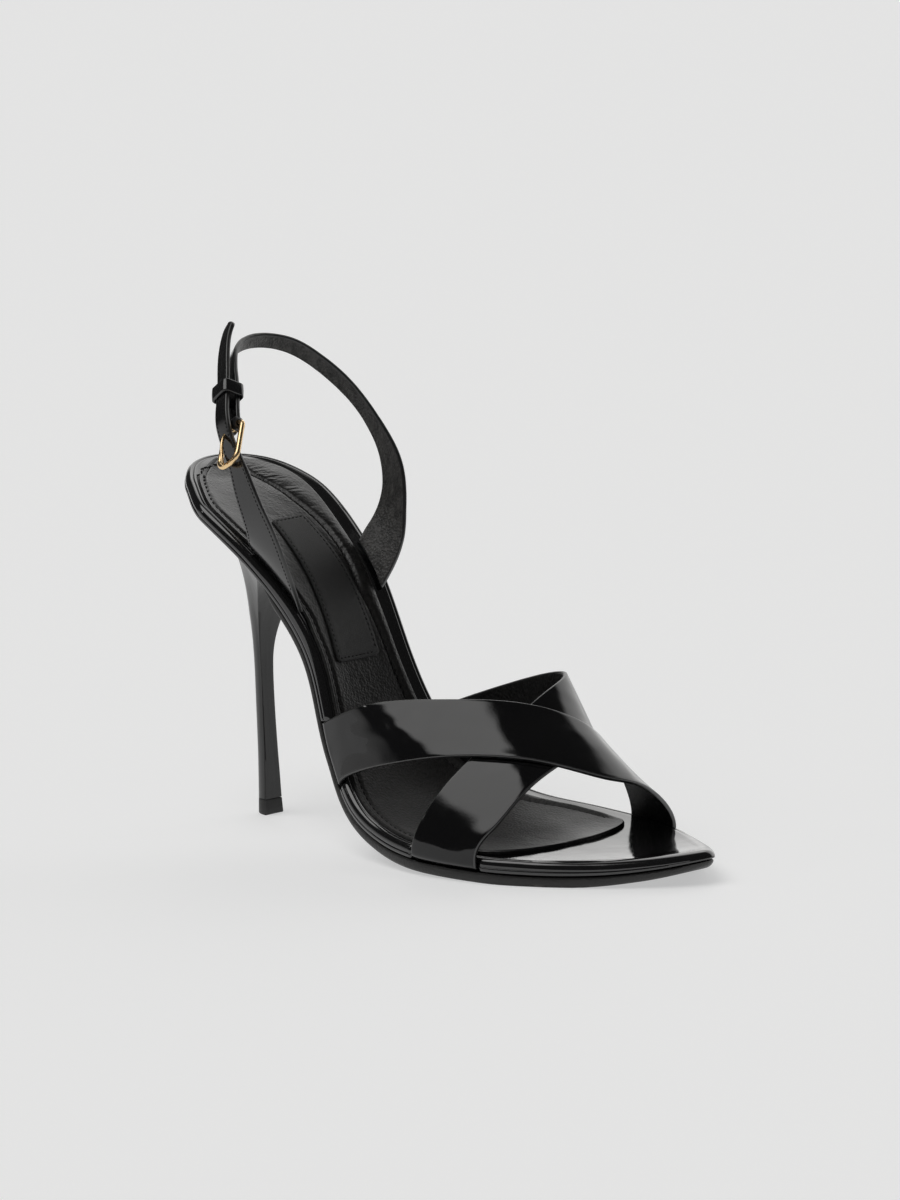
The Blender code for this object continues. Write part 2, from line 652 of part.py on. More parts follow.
def join(thing, other, operation="UNION"):
    """Joins another object to this one, or cuts it out, and leaves the other as a guide."""
    step = thing.modifiers.new(operation.lower() + "_" + other.name, "BOOLEAN")
    step.operation = operation
    step.solver = "EXACT"
    step.object = other
    other.hide_render = True
    other.display_type = "WIRE"


def make_upper(finish, parent):
    """The two bands over the forefoot, joined where they cross."""
    over = make_band("upper", BAND_OVER, OVER_ENDS, GLUE, finish, parent)
    under = make_band("lower_band_form", BAND_UNDER, UNDER_ENDS, 0.0, finish, parent)
    join(over, under)
    return over


def spaced(table, steps):
    """A strap's two edges, evenly stepped along a smooth curve through the table's rows."""
    table = np.array(table, float)
    middle = (table[:, :3] + table[:, 3:]) / 2
    keys = np.concatenate([[0], np.cumsum(np.linalg.norm(np.diff(middle, axis=0), axis=1))])
    at = np.linspace(0, keys[-1], steps)
    edges = through(keys, table, at)
    return edges[:, :3], edges[:, 3:]


def mirrored(row):
    """A row of the sling on the other side of the heel."""
    row = list(row)
    row[1] = 2 * SLING_MIDDLE - row[1]
    row[4] = 2 * SLING_MIDDLE - row[4]
    return row


def buckle_axes():
    """Up the strap, forward across it, and outwards from the leg."""
    up, forward = np.array(STRAP_UP), np.array(STRAP_FORWARD)
    up = up / np.linalg.norm(up)
    forward = forward - up * (forward @ up)
    forward = forward / np.linalg.norm(forward)
    return up, forward, np.cross(forward, up)


def annulus(centre, axis, other, inner, outer, width, sides=16):
    """Short thick-walled tube round an axis."""
    third = np.cross(axis, other)
    rings = []
    for i in range(sides):
        turn = 2 * math.pi * i / sides
        ray = other * math.cos(turn) + third * math.sin(turn)
        profile = ((inner, -0.5), (outer, -0.5), (outer, 0.5), (inner, 0.5))
        rings.append([centre + ray * r + axis * width * w for r, w in profile])
    return loft(np.array(rings), closed_path=True)


def brick(centre, axes, sizes):
    """Box with its edges along three axes."""
    corners = []
    for x in (-0.5, 0.5):
        ring = []
        for y, z in ((-0.5, -0.5), (0.5, -0.5), (0.5, 0.5), (-0.5, 0.5)):
            ring.append(centre + axes[0] * sizes[0] * x + axes[1] * sizes[1] * y + axes[2] * sizes[2] * z)
        corners.append(ring)
    return loft(np.array(corners))


def make_sling(finish, parent):
    """Strap from the inner side of the seat round behind the ankle to an eye on the buckle's bar."""
    up, forward, outward = buckle_axes()
    bar = np.array(BAR)
    rows = list(SLING) + [SLING_APEX] + [mirrored(row) for row in SLING[:-SLING_OUTER_ROWS - 1:-1]]
    half = EYE_WIDTH / 2
    end = bar + up * (EYE_INNER + 0.5)
    before = bar + up * (EYE_INNER + 4.5)
    for centre in (before, end):
        rows.append([*(centre - forward * half), *(centre + forward * half)])
    rows = settle(ruled(*spaced(rows, SLING_STEPS)), rim_row(*SLING_FOOT))
    thing = make_object("sling", *strap(rows), finish, parent, 50)
    eye = make_object("sling_eye_form", *annulus(bar, forward, up, EYE_INNER, EYE_OUTER, EYE_WIDTH + 0.1),
                      finish, parent)
    join(thing, eye)
    slot = make_object("sling_slot_form", *brick(bar, (forward, up, outward), (EYE_SLOT, 7.0, 9.0)),
                       finish, parent)
    join(thing, slot, "DIFFERENCE")
    return thing


def make_billet(finish, parent):
    """Outer strap with its free end, pierced where the prong passes."""
    rows = settle(ruled(*spaced(BILLET, BILLET_STEPS)), rim_row(*BILLET_FOOT))
    thing = make_object("buckled_strap", *strap(rows), finish, parent, 50)
    up, forward, outward = buckle_axes()
    centre = np.array(BAR) - up * PRONG_HOLE_DOWN + outward * PRONG_HOLE_OUTWARD
    hole = brick(centre, (forward, up, outward), PRONG_HOLE_SIZE)
    cutter = make_object("prong_hole_form", *hole, finish, parent)
    join(thing, cutter, "DIFFERENCE")
    return thing


def frame_loop():
    """Centre line of the buckle frame: a rounded rectangle whose top side is the bar."""
    up, forward, outward = buckle_axes()
    down = -up * FRAME_ALONG + outward * FRAME_LIFT
    length = np.linalg.norm(down)
    down = down / length
    centre = np.array(BAR) + down * length / 2
    half_across, half_along = FRAME_ACROSS / 2, length / 2
    points = []
    corners = ((1, -1, -90), (1, 1, 0), (-1, 1, 90), (-1, -1, 180))
    for side, end, start_deg in corners:
        radius = FRAME_CORNER if end > 0 else 1.5
        for k in range(6):
            turn = math.radians(start_deg + 18 * k)
            x = side * (half_across - radius) + radius * math.cos(turn)
            y = end * (half_along - radius) + radius * math.sin(turn)
            points.append(centre + forward * x + down * y)
    return np.array(points), np.cross(forward, down)


def make_buckle(finish, parent):
    """Plain rounded frame."""
    line, face = frame_loop()
    count, sides = len(line), 10
    rings = []
    for i in range(count):
        run = line[(i + 1) % count] - line[i - 1]
        run = run / np.linalg.norm(run)
        side = np.cross(run, face)
        ring = []
        for j in range(sides):
            turn = 2 * math.pi * j / sides
            ring.append(line[i] + FRAME_RADIUS * (side * math.cos(turn) + face * math.sin(turn)))
        rings.append(ring)
    return make_object("buckle_frame", *loft(np.array(rings), closed_path=True), finish, parent, 60)


def make_prong(finish, parent):
    """Pin from its ring on the bar, through the strap and out over the far side of the frame."""
    up, forward, outward = buckle_axes()
    bar = np.array(BAR)
    ring = annulus(bar, forward, up, EYE_INNER, EYE_INNER + 0.8, PRONG_WIDTH)
    thing = make_object("buckle_prong", *ring, finish, parent)
    down, out = columns(PRONG)
    keys = np.arange(len(down), dtype=float)
    at = np.linspace(0, keys[-1], 11)
    line = through(keys, bar - np.outer(down, up) + np.outer(out, outward), at)
    run = np.gradient(line, axis=0)
    across = np.cross(run, forward)
    across /= np.linalg.norm(across, axis=1)[:, None]
    rings = []
    for centre, side, share in zip(line, across, at / keys[-1]):
        radius = PRONG_RADIUS * (1 - 0.45 * share ** 12)
        turns = [2 * math.pi * j / 8 for j in range(8)]
        rings.append([centre + radius * (forward * math.cos(t) + side * math.sin(t)) for t in turns])
    pin = make_object("prong_pin_form", *loft(np.array(rings)), finish, parent)
    join(thing, pin)
    return thing


def make_keeper(finish, parent):
    """Closed leather loop that holds the free end against the outer leg."""
    up, forward = np.array(KEEPER_UP), np.array(KEEPER_FORWARD)
    up = up / np.linalg.norm(up)
    forward = forward - up * (forward @ up)
    forward = forward / np.linalg.norm(forward)
    outward = np.cross(forward, up)
    centre = np.array(KEEPER) + outward * KEEPER_OUTWARD
    rings = []
    corner = 1.1
    for x, y, start_deg in ((1, 1, 0), (-1, 1, 90), (-1, -1, 180), (1, -1, 270)):
        for k in range(4):
            turn = math.radians(start_deg + 30 * k)
            ray = np.array([math.cos(turn), math.sin(turn)])
            heart = np.array([x * (KEEPER_HALF_WIDTH - corner), y * (KEEPER_HALF_DEPTH - corner)])
            inner, outer = heart + ray * corner, heart + ray * (corner + KEEPER_WALL)
            ring = []
            for point, level in ((inner, -0.5), (outer, -0.42), (outer, 0.42), (inner, 0.5)):
                ring.append(centre + forward * point[0] + outward * point[1] + up * KEEPER_HEIGHT * level)
            rings.append(ring)
    return make_object("keeper", *loft(np.array(rings), closed_path=True), finish, parent, 40)


def make_finishes():
    finishes = {}
    for name, (red, green, blue, roughness, metallic) in FINISHES.items():
        finish = bpy.data.materials.new(name)
        finish.use_nodes = True
        shader = finish.node_tree.nodes["Principled BSDF"]
        shader.inputs["Base Color"].default_value = (red, green, blue, 1.0)
        shader.inputs["Roughness"].default_value = roughness
        shader.inputs["Metallic"].default_value = metallic
        finish.diffuse_color = (red, green, blue, 1.0)
        finishes[name] = finish
    return finishes


def main():
    for thing in list(bpy.data.objects):
        bpy.data.objects.remove(thing)
    finishes = make_finishes()
    shoe = bpy.data.objects.new("slingback_sandal", None)
    shoe.location = (-MIDDLE_X * MM, -MIDDLE_Y * MM, 0.0)
    bpy.context.scene.collection.objects.link(shoe)
    make_insole(finishes["patent_black"], shoe)
    make_outsole(finishes["sole_black"], shoe)
    make_sock(finishes["sock_black"], shoe)
    make_patch(finishes["patch_black"], shoe)
    make_heel(finishes["heel_black"], shoe)
    make_top_piece(finishes["rubber_black"], shoe)
    make_upper(finishes["patent_black"], shoe)
    make_sling(finishes["strap_black"], shoe)
    make_billet(finishes["strap_black"], shoe)
    make_buckle(finishes["gold"], shoe)
    make_prong(finishes["gold"], shoe)
    make_keeper(finishes["strap_black"], shoe)


main()
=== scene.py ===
import math

import bmesh
import bpy
import numpy as np
from mathutils import Matrix, Vector, noise


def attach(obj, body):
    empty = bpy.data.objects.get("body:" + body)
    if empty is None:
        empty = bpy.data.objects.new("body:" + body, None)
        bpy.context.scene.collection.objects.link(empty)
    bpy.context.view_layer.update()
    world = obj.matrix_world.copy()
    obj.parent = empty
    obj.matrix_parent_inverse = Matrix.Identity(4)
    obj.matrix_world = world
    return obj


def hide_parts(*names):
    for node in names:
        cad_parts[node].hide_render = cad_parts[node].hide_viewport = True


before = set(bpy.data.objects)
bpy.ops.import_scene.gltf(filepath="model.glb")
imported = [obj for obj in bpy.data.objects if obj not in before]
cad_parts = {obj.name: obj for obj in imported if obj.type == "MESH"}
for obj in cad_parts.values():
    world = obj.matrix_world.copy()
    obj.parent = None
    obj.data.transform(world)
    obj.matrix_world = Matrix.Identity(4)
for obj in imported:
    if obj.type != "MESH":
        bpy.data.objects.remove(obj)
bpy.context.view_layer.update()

MM = 0.001

# The shoe is worked out in millimetres in the frame of its last, and moved to the frame's origin.
MIDDLE = np.array((97.60, 0.40, 0.0))

FOOT_LENGTH = 240.0
HEEL_RIM_HEIGHT = 108.0
#          along  fall_deg
FOOTBED = ((0, 13.0), (25, 25.0), (49, 37.5), (74, 57.5), (99, 67.0), (123, 52.5), (143, 22.5),
           (160, 7.2), (178, 2.3), (202, 0.5), (240, -11.5))
#          along  half_width  middle
OUTLINE = ((0, 0.0, 1.2), (5, 14.8, 1.2), (14, 22.4, 0.2), (30, 27.8, -2.6), (54, 25.4, -4.0),
           (89, 21.0, -2.7), (118, 25.2, -2.4), (146, 35.3, -0.5), (170, 41.0, 2.0), (190, 38.9, 3.9),
           (205, 33.0, 5.3), (219, 24.0, 7.2), (230, 14.6, 8.9), (236.5, 7.2, 10.2), (240, 0.0, 11.4))
#      along  dip
DIP = ((0, 0.0), (2.3, 0.0), (16, 1.9), (40, 2.2), (90, 1.4), (150, 1.0), (190, 0.8), (225, 0.3),
       (237.7, 0.0), (240, 0.0))

# Edge of the patent cover: a bead on top, a rounded side with a seam, and the margin turned in below.
#         inset  depth
COVER = ((2.75, 0.0), (2.35, 0.02), (2.1, 0.3), (1.9, 0.08), (1.5, -0.03), (1.05, 0.06), (0.6, 0.4),
         (0.25, 0.95), (0.05, 1.6), (0.0, 1.95), (0.02, 2.45), (0.24, 2.62), (0.02, 2.8), (0.03, 3.3),
         (0.16, 3.8), (0.5, 4.1), (1.5, 4.2), (7.2, 4.2), (7.6, 4.2))
# Round the toe the cover rolls over more softly.
#             inset  depth
TOE_COVER = ((4.4, 0.0), (3.5, 0.03), (2.7, 0.1), (2.0, 0.22), (1.4, 0.42), (0.9, 0.72), (0.5, 1.1),
             (0.22, 1.5), (0.06, 1.95), (0.0, 2.3), (0.0, 2.75), (0.14, 2.9), (0.0, 3.05), (0.03, 3.4),
             (0.12, 3.8), (0.35, 4.1), (1.3, 4.2), (7.2, 4.2), (7.6, 4.2))
TOE_ROLL = (196.0, 226.0)
COVER_LOW = 2.2
POCKET_INSET = 0.95
POCKET_DEPTH = 2.2
POCKET_REACH = 0.35
POCKET_RAMP = 0.5
COVER_BOTTOM = 4.2
SKIVE_DEPTH = 2.1
# Where the margin below is wide, and how it narrows beyond.
FULL_INSET = (100.0, 215.0)
FULL_RAMP = 8.0
MARGIN_NARROW = 2.0

SOLE_START = 59.0
SOLE_TOP = 4.5
SOLE_TAPER = 11.0
SOLE_THINNED = 0.7
SOLE_TUCKED = 0.8
TREAD_LIFT = 0.9
#             along  thickness
SOLE_WEIGHT = ((59, 2.2), (120, 2.2), (165, 3.45), (212, 3.45), (229, 2.6), (240, 1.3))
#            along  draw
TOE_DRAW = ((59, 0.0), (212, 0.0), (228, 0.7), (240, 2.0))
#             along  skive
TOE_SKIVE = ((0, 0.0), (218, 0.0), (232, 0.5), (240, 1.2))
SKIVE_FILL = 0.85
#            inset  share
SOLE_EDGE = ((1.3, 0.0), (0.8, 0.015), (0.62, 0.08), (0.56, 0.25), (0.6, 0.5), (0.68, 0.68), (0.9, 0.84),
             (1.3, 0.95), (1.9, 1.0))

# Sock lining and its seams.
SOCK_THICK = 0.8
SOCK_LIFT = 0.3
SOCK_REACH = (4.6, 194.6)
SOCK_ROUND = (13.0, 9.5)
#             along  outer_inset  inner_inset
SOCK_EDGES = ((0, 4.0, 5.0), (20, 3.9, 6.2), (32, 3.0, 7.0), (44, 3.4, 7.4), (51, 4.1, 7.4), (75, 4.1, 7.4),
              (82, 2.9, 7.2), (95, 2.7, 7.0), (150, 2.9, 8.0), (186, 4.9, 10.0))
OUTER_SEAM = 2.5
SEAM_HEEL = 13.0
SEAM_ROUND = 4.6
SEAM_TOE = (183.0, 182.0)
SEAM_WIDTH = 0.75
SEAM_DEPTH = 0.55
OUTER_SEAM_DEPTH = 0.5
LIP_DEPTH = 0.2
LIP_INSET = 0.9
LIP_WIDTH = 0.35
ROLL_HEIGHT = 0.62
GATHER_HEIGHT = 0.16
GATHERS_END = (95, 120)
CREASE_HEIGHT = 0.12
PADDING_HEIGHT = 0.1
SOCK_EDGE_DROP = 0.62
SOCK_EDGE_WIDTH = 0.8
SOCK_END_WIDTH = 0.6
SOCK_BOTTOM = 0.02
#             along  inset
INNER_SEAM = ((9, 15.0), (16, 18.5), (30, 17.4), (36, 15.9), (48, 13.3), (57, 12.6), (69, 13.0), (78, 11.8),
              (90, 10.8), (104, 11.0), (130, 12.2), (154, 13.0), (165, 11.6), (183, 12.6))

# Thread.
#              length  gap  width  sink  slant
SOCK_STITCH = (1.9, 0.55, 0.72, 0.05, 0.55)
PATCH_STITCH = (1.2, 0.5, 0.34, 0.1, 0.0)
STRAP_STITCH = (0.95, 0.35, 0.26, 0.05, 0.0)
STRAP_STITCH_INSET = 0.95

# Patch on the sock lining.
#        along  outer_y  inner_y
PATCH = ((38.6, -8.7, 5.4), (65.0, -12.0, 4.8), (91.4, -15.4, 3.6))
PATCH_THICK = 0.38
PATCH_LIFT = 0.3
PATCH_CORNER = 1.6
PATCH_SEAM = 1.1

# Heel: flat breast in front, half an ellipse behind.
#       height  breast_x  width  depth
HEEL = ((0.0, 31.7, 7.8, 5.6), (5.0, 31.4, 7.0, 5.5), (12.0, 31.0, 6.4, 5.3), (20.0, 30.4, 5.9, 5.0),
        (32.5, 29.5, 5.4, 4.8), (42.0, 29.0, 5.2, 4.8), (52.0, 28.6, 5.9, 4.9), (62.0, 28.4, 6.6, 5.2))
HEEL_MIDDLE = -3.8
TOP_PIECE = 4.7
#                 height  inset
TOP_PIECE_SIDE = ((0.0, 0.25), (0.25, 0.0), (2.0, 0.0), (4.3, 0.0), (4.6, 0.05), (TOP_PIECE, 0.3))
FLARE_START = 47.0
SEAT_INSET = 1.6
SEAT_BREAST = 57.5
#             out  depth
HEEL_SEAM = ((0.0, 0.05), (0.08, 0.0), (0.3, 0.0), (0.36, 0.2), (0.44, 0.2), (0.5, 0.0))

# Straps.
STRAP_HALF = 0.75
STRAP_CORNER = 0.5
TUCK = ((6.4, 3.3), (3.0, 3.3), (1.6, 3.3), (0.9, 3.1), (0.45, 2.75), (0.0, 2.3), (-0.2, 1.95), (-0.28, 1.6))
RIM_INSET = -0.3
RIM_DEPTH = 1.2
RIM_LEAVE = 15.0
RIM_SPLAY = 0.12
#            rear_x  rear_y  rear_z  front_x  front_y  front_z
BAND_OVER = ((92.0, -26.7, 45.9, 112.4, -30.2, 31.9), (113.3, -18.0, 48.9, 133.7, -23.5, 35.3),
             (131.4, -5.2, 48.7, 150.6, -11.4, 33.8), (141.9, 8.9, 43.6, 161.1, 4.5, 28.1),
             (143.5, 25.1, 30.9, 161.2, 22.2, 22.3))
BAND_UNDER = ((127.8, -32.1, 26.0, 149.0, -31.2, 17.7), (133.2, -15.3, 39.5, 151.3, -18.5, 27.9),
              (133.5, 5.0, 49.4, 150.9, 1.3, 34.1), (128.1, 21.7, 52.5, 142.8, 20.4, 33.7),
              (109.8, 27.9, 49.0, 123.1, 31.2, 27.4))
#                side      rear_along  front_along
OVER_ENDS = (("outer", 108.0, 127.0), ("inner", 181.0, 201.0))
UNDER_ENDS = (("outer", 167.0, 189.0), ("inner", 111.0, 136.0))
#              side     rear_along  front_along  inset  depth
SLING_FOOT = ("inner", 54.4, 71.8, 4.5, -0.5)
BILLET_FOOT = ("outer", 51.3, 74.5, 2.9, -0.5)
SETTLE_REACH = 14.0
#        rear_x  rear_y  rear_z  front_x  front_y  front_z
SLING = ((48.3, 16.5, 84.5, 59.5, 14.3, 71.5), (48.3, 19.6, 87.9, 61.5, 18.6, 79.0),
         (48.4, 22.8, 91.0, 61.5, 22.6, 86.6), (48.9, 24.9, 94.6, 60.1, 24.9, 94.0),
         (48.9, 26.9, 100.7, 58.0, 26.9, 102.8), (47.0, 27.7, 109.2, 54.3, 27.7, 111.6),
         (43.7, 26.6, 117.2, 48.9, 26.6, 119.9), (39.6, 24.0, 124.6, 44.0, 24.0, 127.6),
         (35.1, 20.0, 131.1, 39.6, 20.0, 134.6), (29.8, 14.7, 137.3, 33.6, 14.7, 141.3),
         (25.6, 9.6, 141.2, 28.9, 9.6, 145.6), (22.6, 3.4, 143.3, 25.5, 3.4, 147.7))
SLING_MIDDLE = -3.6
SLING_APEX = (21.5, -3.4, 143.9, 24.3, -3.4, 148.4)
SLING_OUTER_ROWS = 4
# Heights over the hole of its eyes through which the sling comes down to the buckle.
SLING_END = (4.5, 0.9)
#         rear_x  rear_y  rear_z  front_x  front_y  front_z
BILLET = ((45.9, -27.0, 86.5, 61.2, -23.9, 68.9), (46.5, -29.4, 89.2, 62.4, -27.5, 77.5),
          (48.0, -31.8, 92.0, 61.9, -31.0, 87.0), (49.0, -33.7, 95.0, 60.5, -33.6, 95.0),
          (49.0, -36.2, 101.0, 58.2, -36.2, 103.0), (47.4, -37.2, 107.4, 55.4, -37.2, 109.8),
          (45.6, -37.0, 112.6, 52.0, -37.0, 115.2), (42.8, -37.0, 118.6, 47.9, -37.0, 121.4),
          (39.0, -35.9, 125.4, 43.9, -35.9, 128.2), (33.5, -29.6, 133.6, 37.7, -29.6, 137.2),
          (26.2, -21.4, 143.6, 30.0, -21.4, 147.8), (23.4, -16.6, 149.4, 26.9, -16.6, 152.6),
          (23.2, -14.8, 151.6, 25.4, -14.8, 153.6), (23.5, -14.4, 152.4, 24.6, -14.4, 153.4))

# Buckle, prong and keeper.
BAR = (42.4, -32.1, 125.5)
STRAP_UP = (-0.463, 0.421, 0.779)
STRAP_FORWARD = (0.863, 0.0, 0.504)
FRAME_ACROSS = 8.6
FRAME_ALONG = 14.2
FRAME_CORNER = 3.4
FRAME_BAR_CORNER = 1.5
FRAME_LIFT = 3.3
FRAME_RADIUS = 0.85
EYE_INNER = 1.25
EYE_OUTER = 2.35
EYE_WIDTH = 5.2
EYE_SLOT = 2.1
PRONG_WIDTH = 1.4
PRONG_RADIUS = 0.55
PRONG_RING = 0.4
#        down  outward
PRONG = ((0.9, 1.3), (2.8, 2.7), (5.2, 4.4), (9.5, 5.4), (15.3, 5.1))
KEEPER = (36.6, -26.7, 133.8)
KEEPER_UP = (-0.50, 0.52, 0.69)
KEEPER_FORWARD = (0.74, 0.0, 0.67)
KEEPER_OUTWARD = 1.7
KEEPER_HALF_WIDTH = 3.5
KEEPER_HALF_DEPTH = 3.1
KEEPER_CORNER = 1.1
#              wall  share_of_height
KEEPER_WALL = ((0.0, -0.5), (0.45, -0.5), (0.66, -0.46), (0.7, -0.4), (0.78, 0.0), (0.7, 0.4), (0.66, 0.46),
               (0.45, 0.5), (0.0, 0.5))
KEEPER_HEIGHT = 4.6

# The photograph's camera, in millimetres in the frame of the last.
CAMERA_AZIMUTH = 42.57
CAMERA_ELEVATION = 10.80
CAMERA_DISTANCE = 2720.0
CAMERA_TARGET = (105.0, 0.0, 60.0)
CAMERA_SHIFT = (-2.64, 15.50)
CAMERA_LENS = 270.98

# Studio: soft boxes in a dark room, seen by direction, over a floor that glows a little of itself.
#              azimuth  elevation  full_deg  none_deg  radiance
SOFT_BOXES = ((-120.0, 63.0, 20.0, 27.0, 2.1), (108.0, 6.0, 34.0, 46.0, 1.15), (133.0, 46.0, 8.0, 18.0, 1.1),
              (-146.0, -4.0, 6.0, 20.0, 0.6), (-133.0, 27.0, 1.0, 3.2, 5.0))
STUDIO_DARK = 0.05
FLOOR_REACH = 9.0
FLOOR_GLOW = 0.467

# How finely the pieces are stepped.
COVER_STEPS = 420
COVER_ACROSS = 41
SOLE_STEPS = 320
SOCK_STEPS = 560
SOCK_ACROSS = 120
PATCH_STEPS = 90
PATCH_ACROSS = 30
HEEL_STEPS = 90
HEEL_BACK = 49
HEEL_BREAST = 9
BAND_STEPS = 140
SLING_STEPS = 260
BILLET_STEPS = 240
STRAP_ACROSS = 25
STITCH_STEPS = 6


# Curves.

def columns(table):
    return [np.array(column, float) for column in zip(*table)]


def end_slope(step, next_step, rise, next_rise):
    slope = ((2 * step + next_step) * rise - step * next_rise) / (step + next_step)
    if slope * rise <= 0:
        return 0.0
    if rise * next_rise <= 0 and abs(slope) > 3 * abs(rise):
        return 3 * rise
    return slope


def hermite(keys, points, slopes, at):
    at = np.clip(np.asarray(at, float), keys[0], keys[-1])
    cell = np.clip(np.searchsorted(keys, at, side="right") - 1, 0, len(keys) - 2)
    step = (keys[cell + 1] - keys[cell])[..., None]
    t = (at - keys[cell])[..., None] / step
    start = (1 + 2 * t) * (1 - t) ** 2 * points[cell] + t * (1 - t) ** 2 * step * slopes[cell]
    return start + t * t * (3 - 2 * t) * points[cell + 1] + t * t * (t - 1) * step * slopes[cell + 1]


def smooth(keys, values, at):
    """Smooth curve through table values that never overshoots them."""
    step = np.diff(keys)
    rise = np.diff(values) / step
    slope = np.zeros(len(keys))
    slope[0] = end_slope(step[0], step[1], rise[0], rise[1])
    slope[-1] = end_slope(step[-1], step[-2], rise[-1], rise[-2])
    for i in range(1, len(keys) - 1):
        if rise[i - 1] * rise[i] > 0:
            before = 2 * step[i] + step[i - 1]
            after = step[i] + 2 * step[i - 1]
            slope[i] = (before + after) / (before / rise[i - 1] + after / rise[i])
    return hermite(keys, values[:, None], slope[:, None], at)[..., 0]


def through(keys, points, at, first=None, last=None):
    """Curve of even bend through points; first and last fix how it leaves its ends."""
    count = len(keys)
    step = np.diff(keys)
    system = np.zeros((count, count))
    known = np.zeros(points.shape)
    for i in range(1, count - 1):
        system[i, i - 1] = 1 / step[i - 1]
        system[i, i] = 2 / step[i - 1] + 2 / step[i]
        system[i, i + 1] = 1 / step[i]
        rise_before = (points[i] - points[i - 1]) / step[i - 1] ** 2
        rise_after = (points[i + 1] - points[i]) / step[i] ** 2
        known[i] = 3 * (rise_before + rise_after)
    for end, near, given in ((0, 1, first), (count - 1, count - 2, last)):
        system[end, end] = 2.0
        system[end, near] = 1.0
        known[end] = 3 * (points[near] - points[end]) / (keys[near] - keys[end])
        if given is not None:
            system[end, near] = 0.0
            known[end] = 2 * np.array(given)
    return hermite(keys, points, np.linalg.solve(system, known), at)


def spread(first, last, share):
    """Rows of values at shares from first to last."""
    return first[:, None] * (1 - share) + last[:, None] * share


def within(low, high, value):
    """How far a value lies inside a range, negative outside it."""
    return np.minimum(value - low, high - value)


def swell(distance, width):
    """1 at no distance, fading like a bell over a width."""
    return np.exp(-(distance / width) ** 2)


def rounding(near):
    """Drop of a round edge: 1 at the edge, 0 from its radius inwards."""
    return 1 - np.sqrt(1 - (1 - np.clip(near, 0, 1)) ** 2)


def run_of(points):
    """Length of a line of points up to each of them."""
    return np.concatenate([[0], np.cumsum(np.linalg.norm(np.diff(points, axis=0), axis=1))])


def unit(vectors):
    return vectors / np.linalg.norm(vectors, axis=-1)[..., None]


def step_between(low, high, value):
    """0 below low, 1 above high, eased between them."""
    t = np.clip((value - low) / (high - low), 0, 1)
    return t * t * (3 - 2 * t)


def ripple(points, size, seed):
    """Smooth noise at points, for features of a given size in millimetres."""
    flat = np.asarray(points, float).reshape(-1, 3) / size + seed * 17.3
    values = [noise.noise(Vector(point)) for point in flat]
    return np.array(values).reshape(np.shape(points)[:-1])


# Footbed.

def footbed_path():
    keys, falls = columns(FOOTBED)
    along = np.linspace(0, FOOT_LENGTH, 961)
    fall = np.radians(smooth(keys, falls, along))
    step = along[1]
    x = np.concatenate([[0], np.cumsum((np.cos(fall[1:]) + np.cos(fall[:-1])) * step / 2)])
    z = np.concatenate([[0], np.cumsum((np.sin(fall[1:]) + np.sin(fall[:-1])) * step / 2)])
    return along, x, HEEL_RIM_HEIGHT - z, fall


PATH_ALONG, PATH_X, PATH_Z, PATH_FALL = footbed_path()


def fall_at(along):
    return np.interp(along, PATH_ALONG, PATH_FALL)


def place(along, y, depth):
    fall = fall_at(along)
    x = np.interp(along, PATH_ALONG, PATH_X) - np.sin(fall) * depth
    z = np.interp(along, PATH_ALONG, PATH_Z) - np.cos(fall) * depth
    return np.stack([x, np.broadcast_to(y, np.shape(x)), z], -1)


def footbed_normal(along):
    fall = fall_at(along)
    return np.stack([np.sin(fall), 0 * fall, np.cos(fall)], -1)


def edge_y(side, along):
    keys, half, middle = columns(OUTLINE)
    half_width = np.sqrt(np.maximum(smooth(keys, half ** 2, along), 0))
    sign = 1 if side == "inner" else -1
    return smooth(keys, middle, along) + sign * half_width


def inset_edge(side, stations, inset):
    y = edge_y(side, stations)
    tangent = np.gradient(np.stack([stations, y], -1), axis=0, edge_order=1)
    sign = -1 if side == "inner" else 1
    if stations[0] <= 0:
        tangent[0] = (0.0, -sign)
    if stations[-1] >= FOOT_LENGTH:
        tangent[-1] = (0.0, sign)
    tangent = unit(tangent)
    along = stations - sign * tangent[:, 1] * inset
    return along, y + sign * tangent[:, 0] * inset


def end_spaced(start, end, count):
    return start + (end - start) * (1 - np.cos(np.linspace(0, math.pi, count))) / 2


def dip_under(along, y):
    """How far the padded footbed lies below its rim at a point."""
    keys, dips = columns(DIP)
    outer_y, inner_y = edge_y("outer", along), edge_y("inner", along)
    width = np.maximum(inner_y - outer_y - 2 * COVER_LOW, 0.01)
    across = np.clip(2 * (y - outer_y - COVER_LOW) / width - 1, -1, 1)
    return smooth(keys, dips, along) * (1 - np.abs(across) ** 2.5)


# Meshes.

def add_object(name, data):
    made = bpy.data.objects.new(name, data)
    bpy.context.scene.collection.objects.link(made)
    return made


